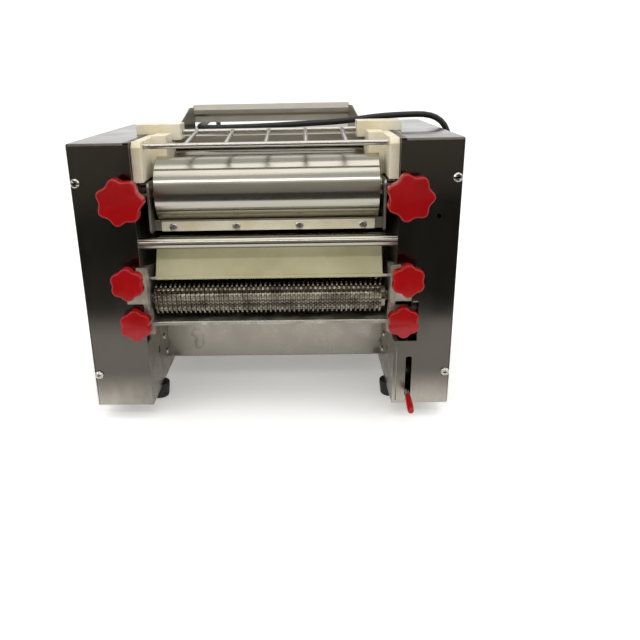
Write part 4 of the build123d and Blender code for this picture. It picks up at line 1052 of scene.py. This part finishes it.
# ------------------------ solids with broken edges
def add_solid(bm, node):
    """A solid's own shape, with its triangles joined into whole faces."""
    bm.from_mesh(bpy.data.objects[node].data)
    bmesh.ops.remove_doubles(bm, verts=bm.verts, dist=WELD)
    bmesh.ops.dissolve_limit(bm, angle_limit=math.radians(1.5), verts=bm.verts, edges=bm.edges)


for node, name, material, body, width in (
    ("roller_cheeks", "cheek_blocks", cream_plastic, "frame", 2.0),
    ("guard_hinge_blocks", "hinge_blocks", cream_plastic, "frame", 1.2),
    ("left_wall_plate", "left_wall_sheet", wall_steel, "frame", 0.4),
    ("right_wall_plate", "right_wall_sheet", wall_steel, "frame", 0.4),
    ("cutter_brackets", "cutter_side_plates", floury_steel, "frame", 0.4),
    ("rear_panel", "rear_sheet", sheet_steel, "frame", 0.3),
    ("front_bearing_blocks", "bearing_blocks", gear_steel, "roller_carriage", 0.5),
    ("wall_blocks", "wall_pads", gear_steel, "frame", 0.5),
):
    bm = bmesh.new()
    add_solid(bm, node)
    finish(bm, name, material, body, (node,), bevel=width)

# ------------------------ finishes of the solids that stay
shown = {
    plated_steel: ("clamp_studs", "stub_shafts", "clutch_lever"),
    gear_steel: (
        "front_roller_gear", "rear_roller_gears", "countershaft", "rear_cutter_gear",
        "front_cutter_gear", "sliding_idler_gear", "shifter_fork",
    ),
    cast_iron: ("large_pulley", "motor_pulley"),
    rubber: ("drive_belt",),
    black_plastic: ("power_switch_body", "power_switch_rocker"),
    bronze: ("shaft_bushes", "front_roller_bushes"),
    motor_enamel: ("drive_motor",),
}
for material, names in shown.items():
    for name in names:
        node = bpy.data.objects[name]
        node.data.materials.clear()
        node.data.materials.append(material)


# ------------------------ stage and light
def stage_sheet(name, outline, half_span, colour, glow=0.0):
    """A plain sheet of the studio through (y, z) points, in metres."""
    bm = bmesh.new()
    verts = [bm.verts.new((-half_span, *point)) for point in outline]
    edges = [bm.edges.new(pair) for pair in zip(verts, verts[1:])]
    made = bmesh.ops.extrude_edge_only(bm, edges=edges)["geom"]
    bmesh.ops.translate(bm, verts=verts_of(made), vec=Vector((2 * half_span, 0, 0)))
    bmesh.ops.recalc_face_normals(bm, faces=bm.faces)
    mesh = bpy.data.meshes.new(name)
    bm.to_mesh(mesh)
    bm.free()
    mesh.shade_smooth()
    material = new_material(name, colour, 0.0, 0.7)
    shader = material.node_tree.nodes["Principled BSDF"]
    shader.inputs["Emission Color"].default_value = (1, 1, 1, 1)
    shader.inputs["Emission Strength"].default_value = glow
    mesh.materials.append(material)
    sheet = bpy.data.objects.new(name, mesh)
    bpy.context.scene.collection.objects.link(sheet)


table_z = FLOOR_Z - foot_height * MM
cloth_z = table_z + 1 * MM
near_edge = FRONT_Y - 0.36
screen_y = -2.3
screen_top = 1.45
sweep_y, sweep_radius, sweep_top = 2.2, 0.9, 3.2
sweep_turns = [math.radians(15 * step) for step in range(7)]
sweep = [
    (sweep_y + sweep_radius * math.sin(turn), table_z + sweep_radius * (1 - math.cos(turn)))
    for turn in sweep_turns
]
sweep = [(-4.0, table_z)] + sweep + [(sweep_y + sweep_radius, sweep_top)]
stage_sheet("pale_sweep", sweep, 5.0, "#f7f7f6", 0.25)
stage_sheet("dark_cloth", [(screen_y, cloth_z), (near_edge, cloth_z)], 1.5, "#2b2927")
stage_sheet("grey_screen", [(screen_y, cloth_z), (screen_y, screen_top)], 1.5, "#b4b0a8")


def softbox(name, place, target, width, height, power):
    """A soft lamp that faces a target; places and sizes are in metres."""
    data = bpy.data.lights.new(name, "AREA")
    data.shape = "RECTANGLE"
    data.size = width
    data.size_y = height
    data.energy = power
    light = bpy.data.objects.new(name, data)
    light.location = place
    aim = Vector(target) - Vector(place)
    light.rotation_euler = aim.to_track_quat("-Z", "Y").to_euler()
    bpy.context.scene.collection.objects.link(light)


softbox("top_box", (0.1, -0.2, 1.7), (0, 0, 0.15), 1.6, 1.2, 9.0)
softbox("strip_box", (0.0, -1.35, 1.25), (0, 0, 0.25), 2.6, 0.12, 6.0)
softbox("left_box", (-1.5, -0.9, 1.1), (0, 0, 0.15), 0.9, 0.9, 6.0)
softbox("right_box", (1.6, -0.6, 1.2), (0, 0, 0.15), 0.9, 0.9, 5.0)

world = bpy.data.worlds.new("studio")
world.use_nodes = True
background = world.node_tree.nodes["Background"]
background.inputs["Color"].default_value = (1, 1, 1, 1)
background.inputs["Strength"].default_value = 0.75
bpy.context.scene.world = world
bpy.context.scene.view_settings.view_transform = "Standard"
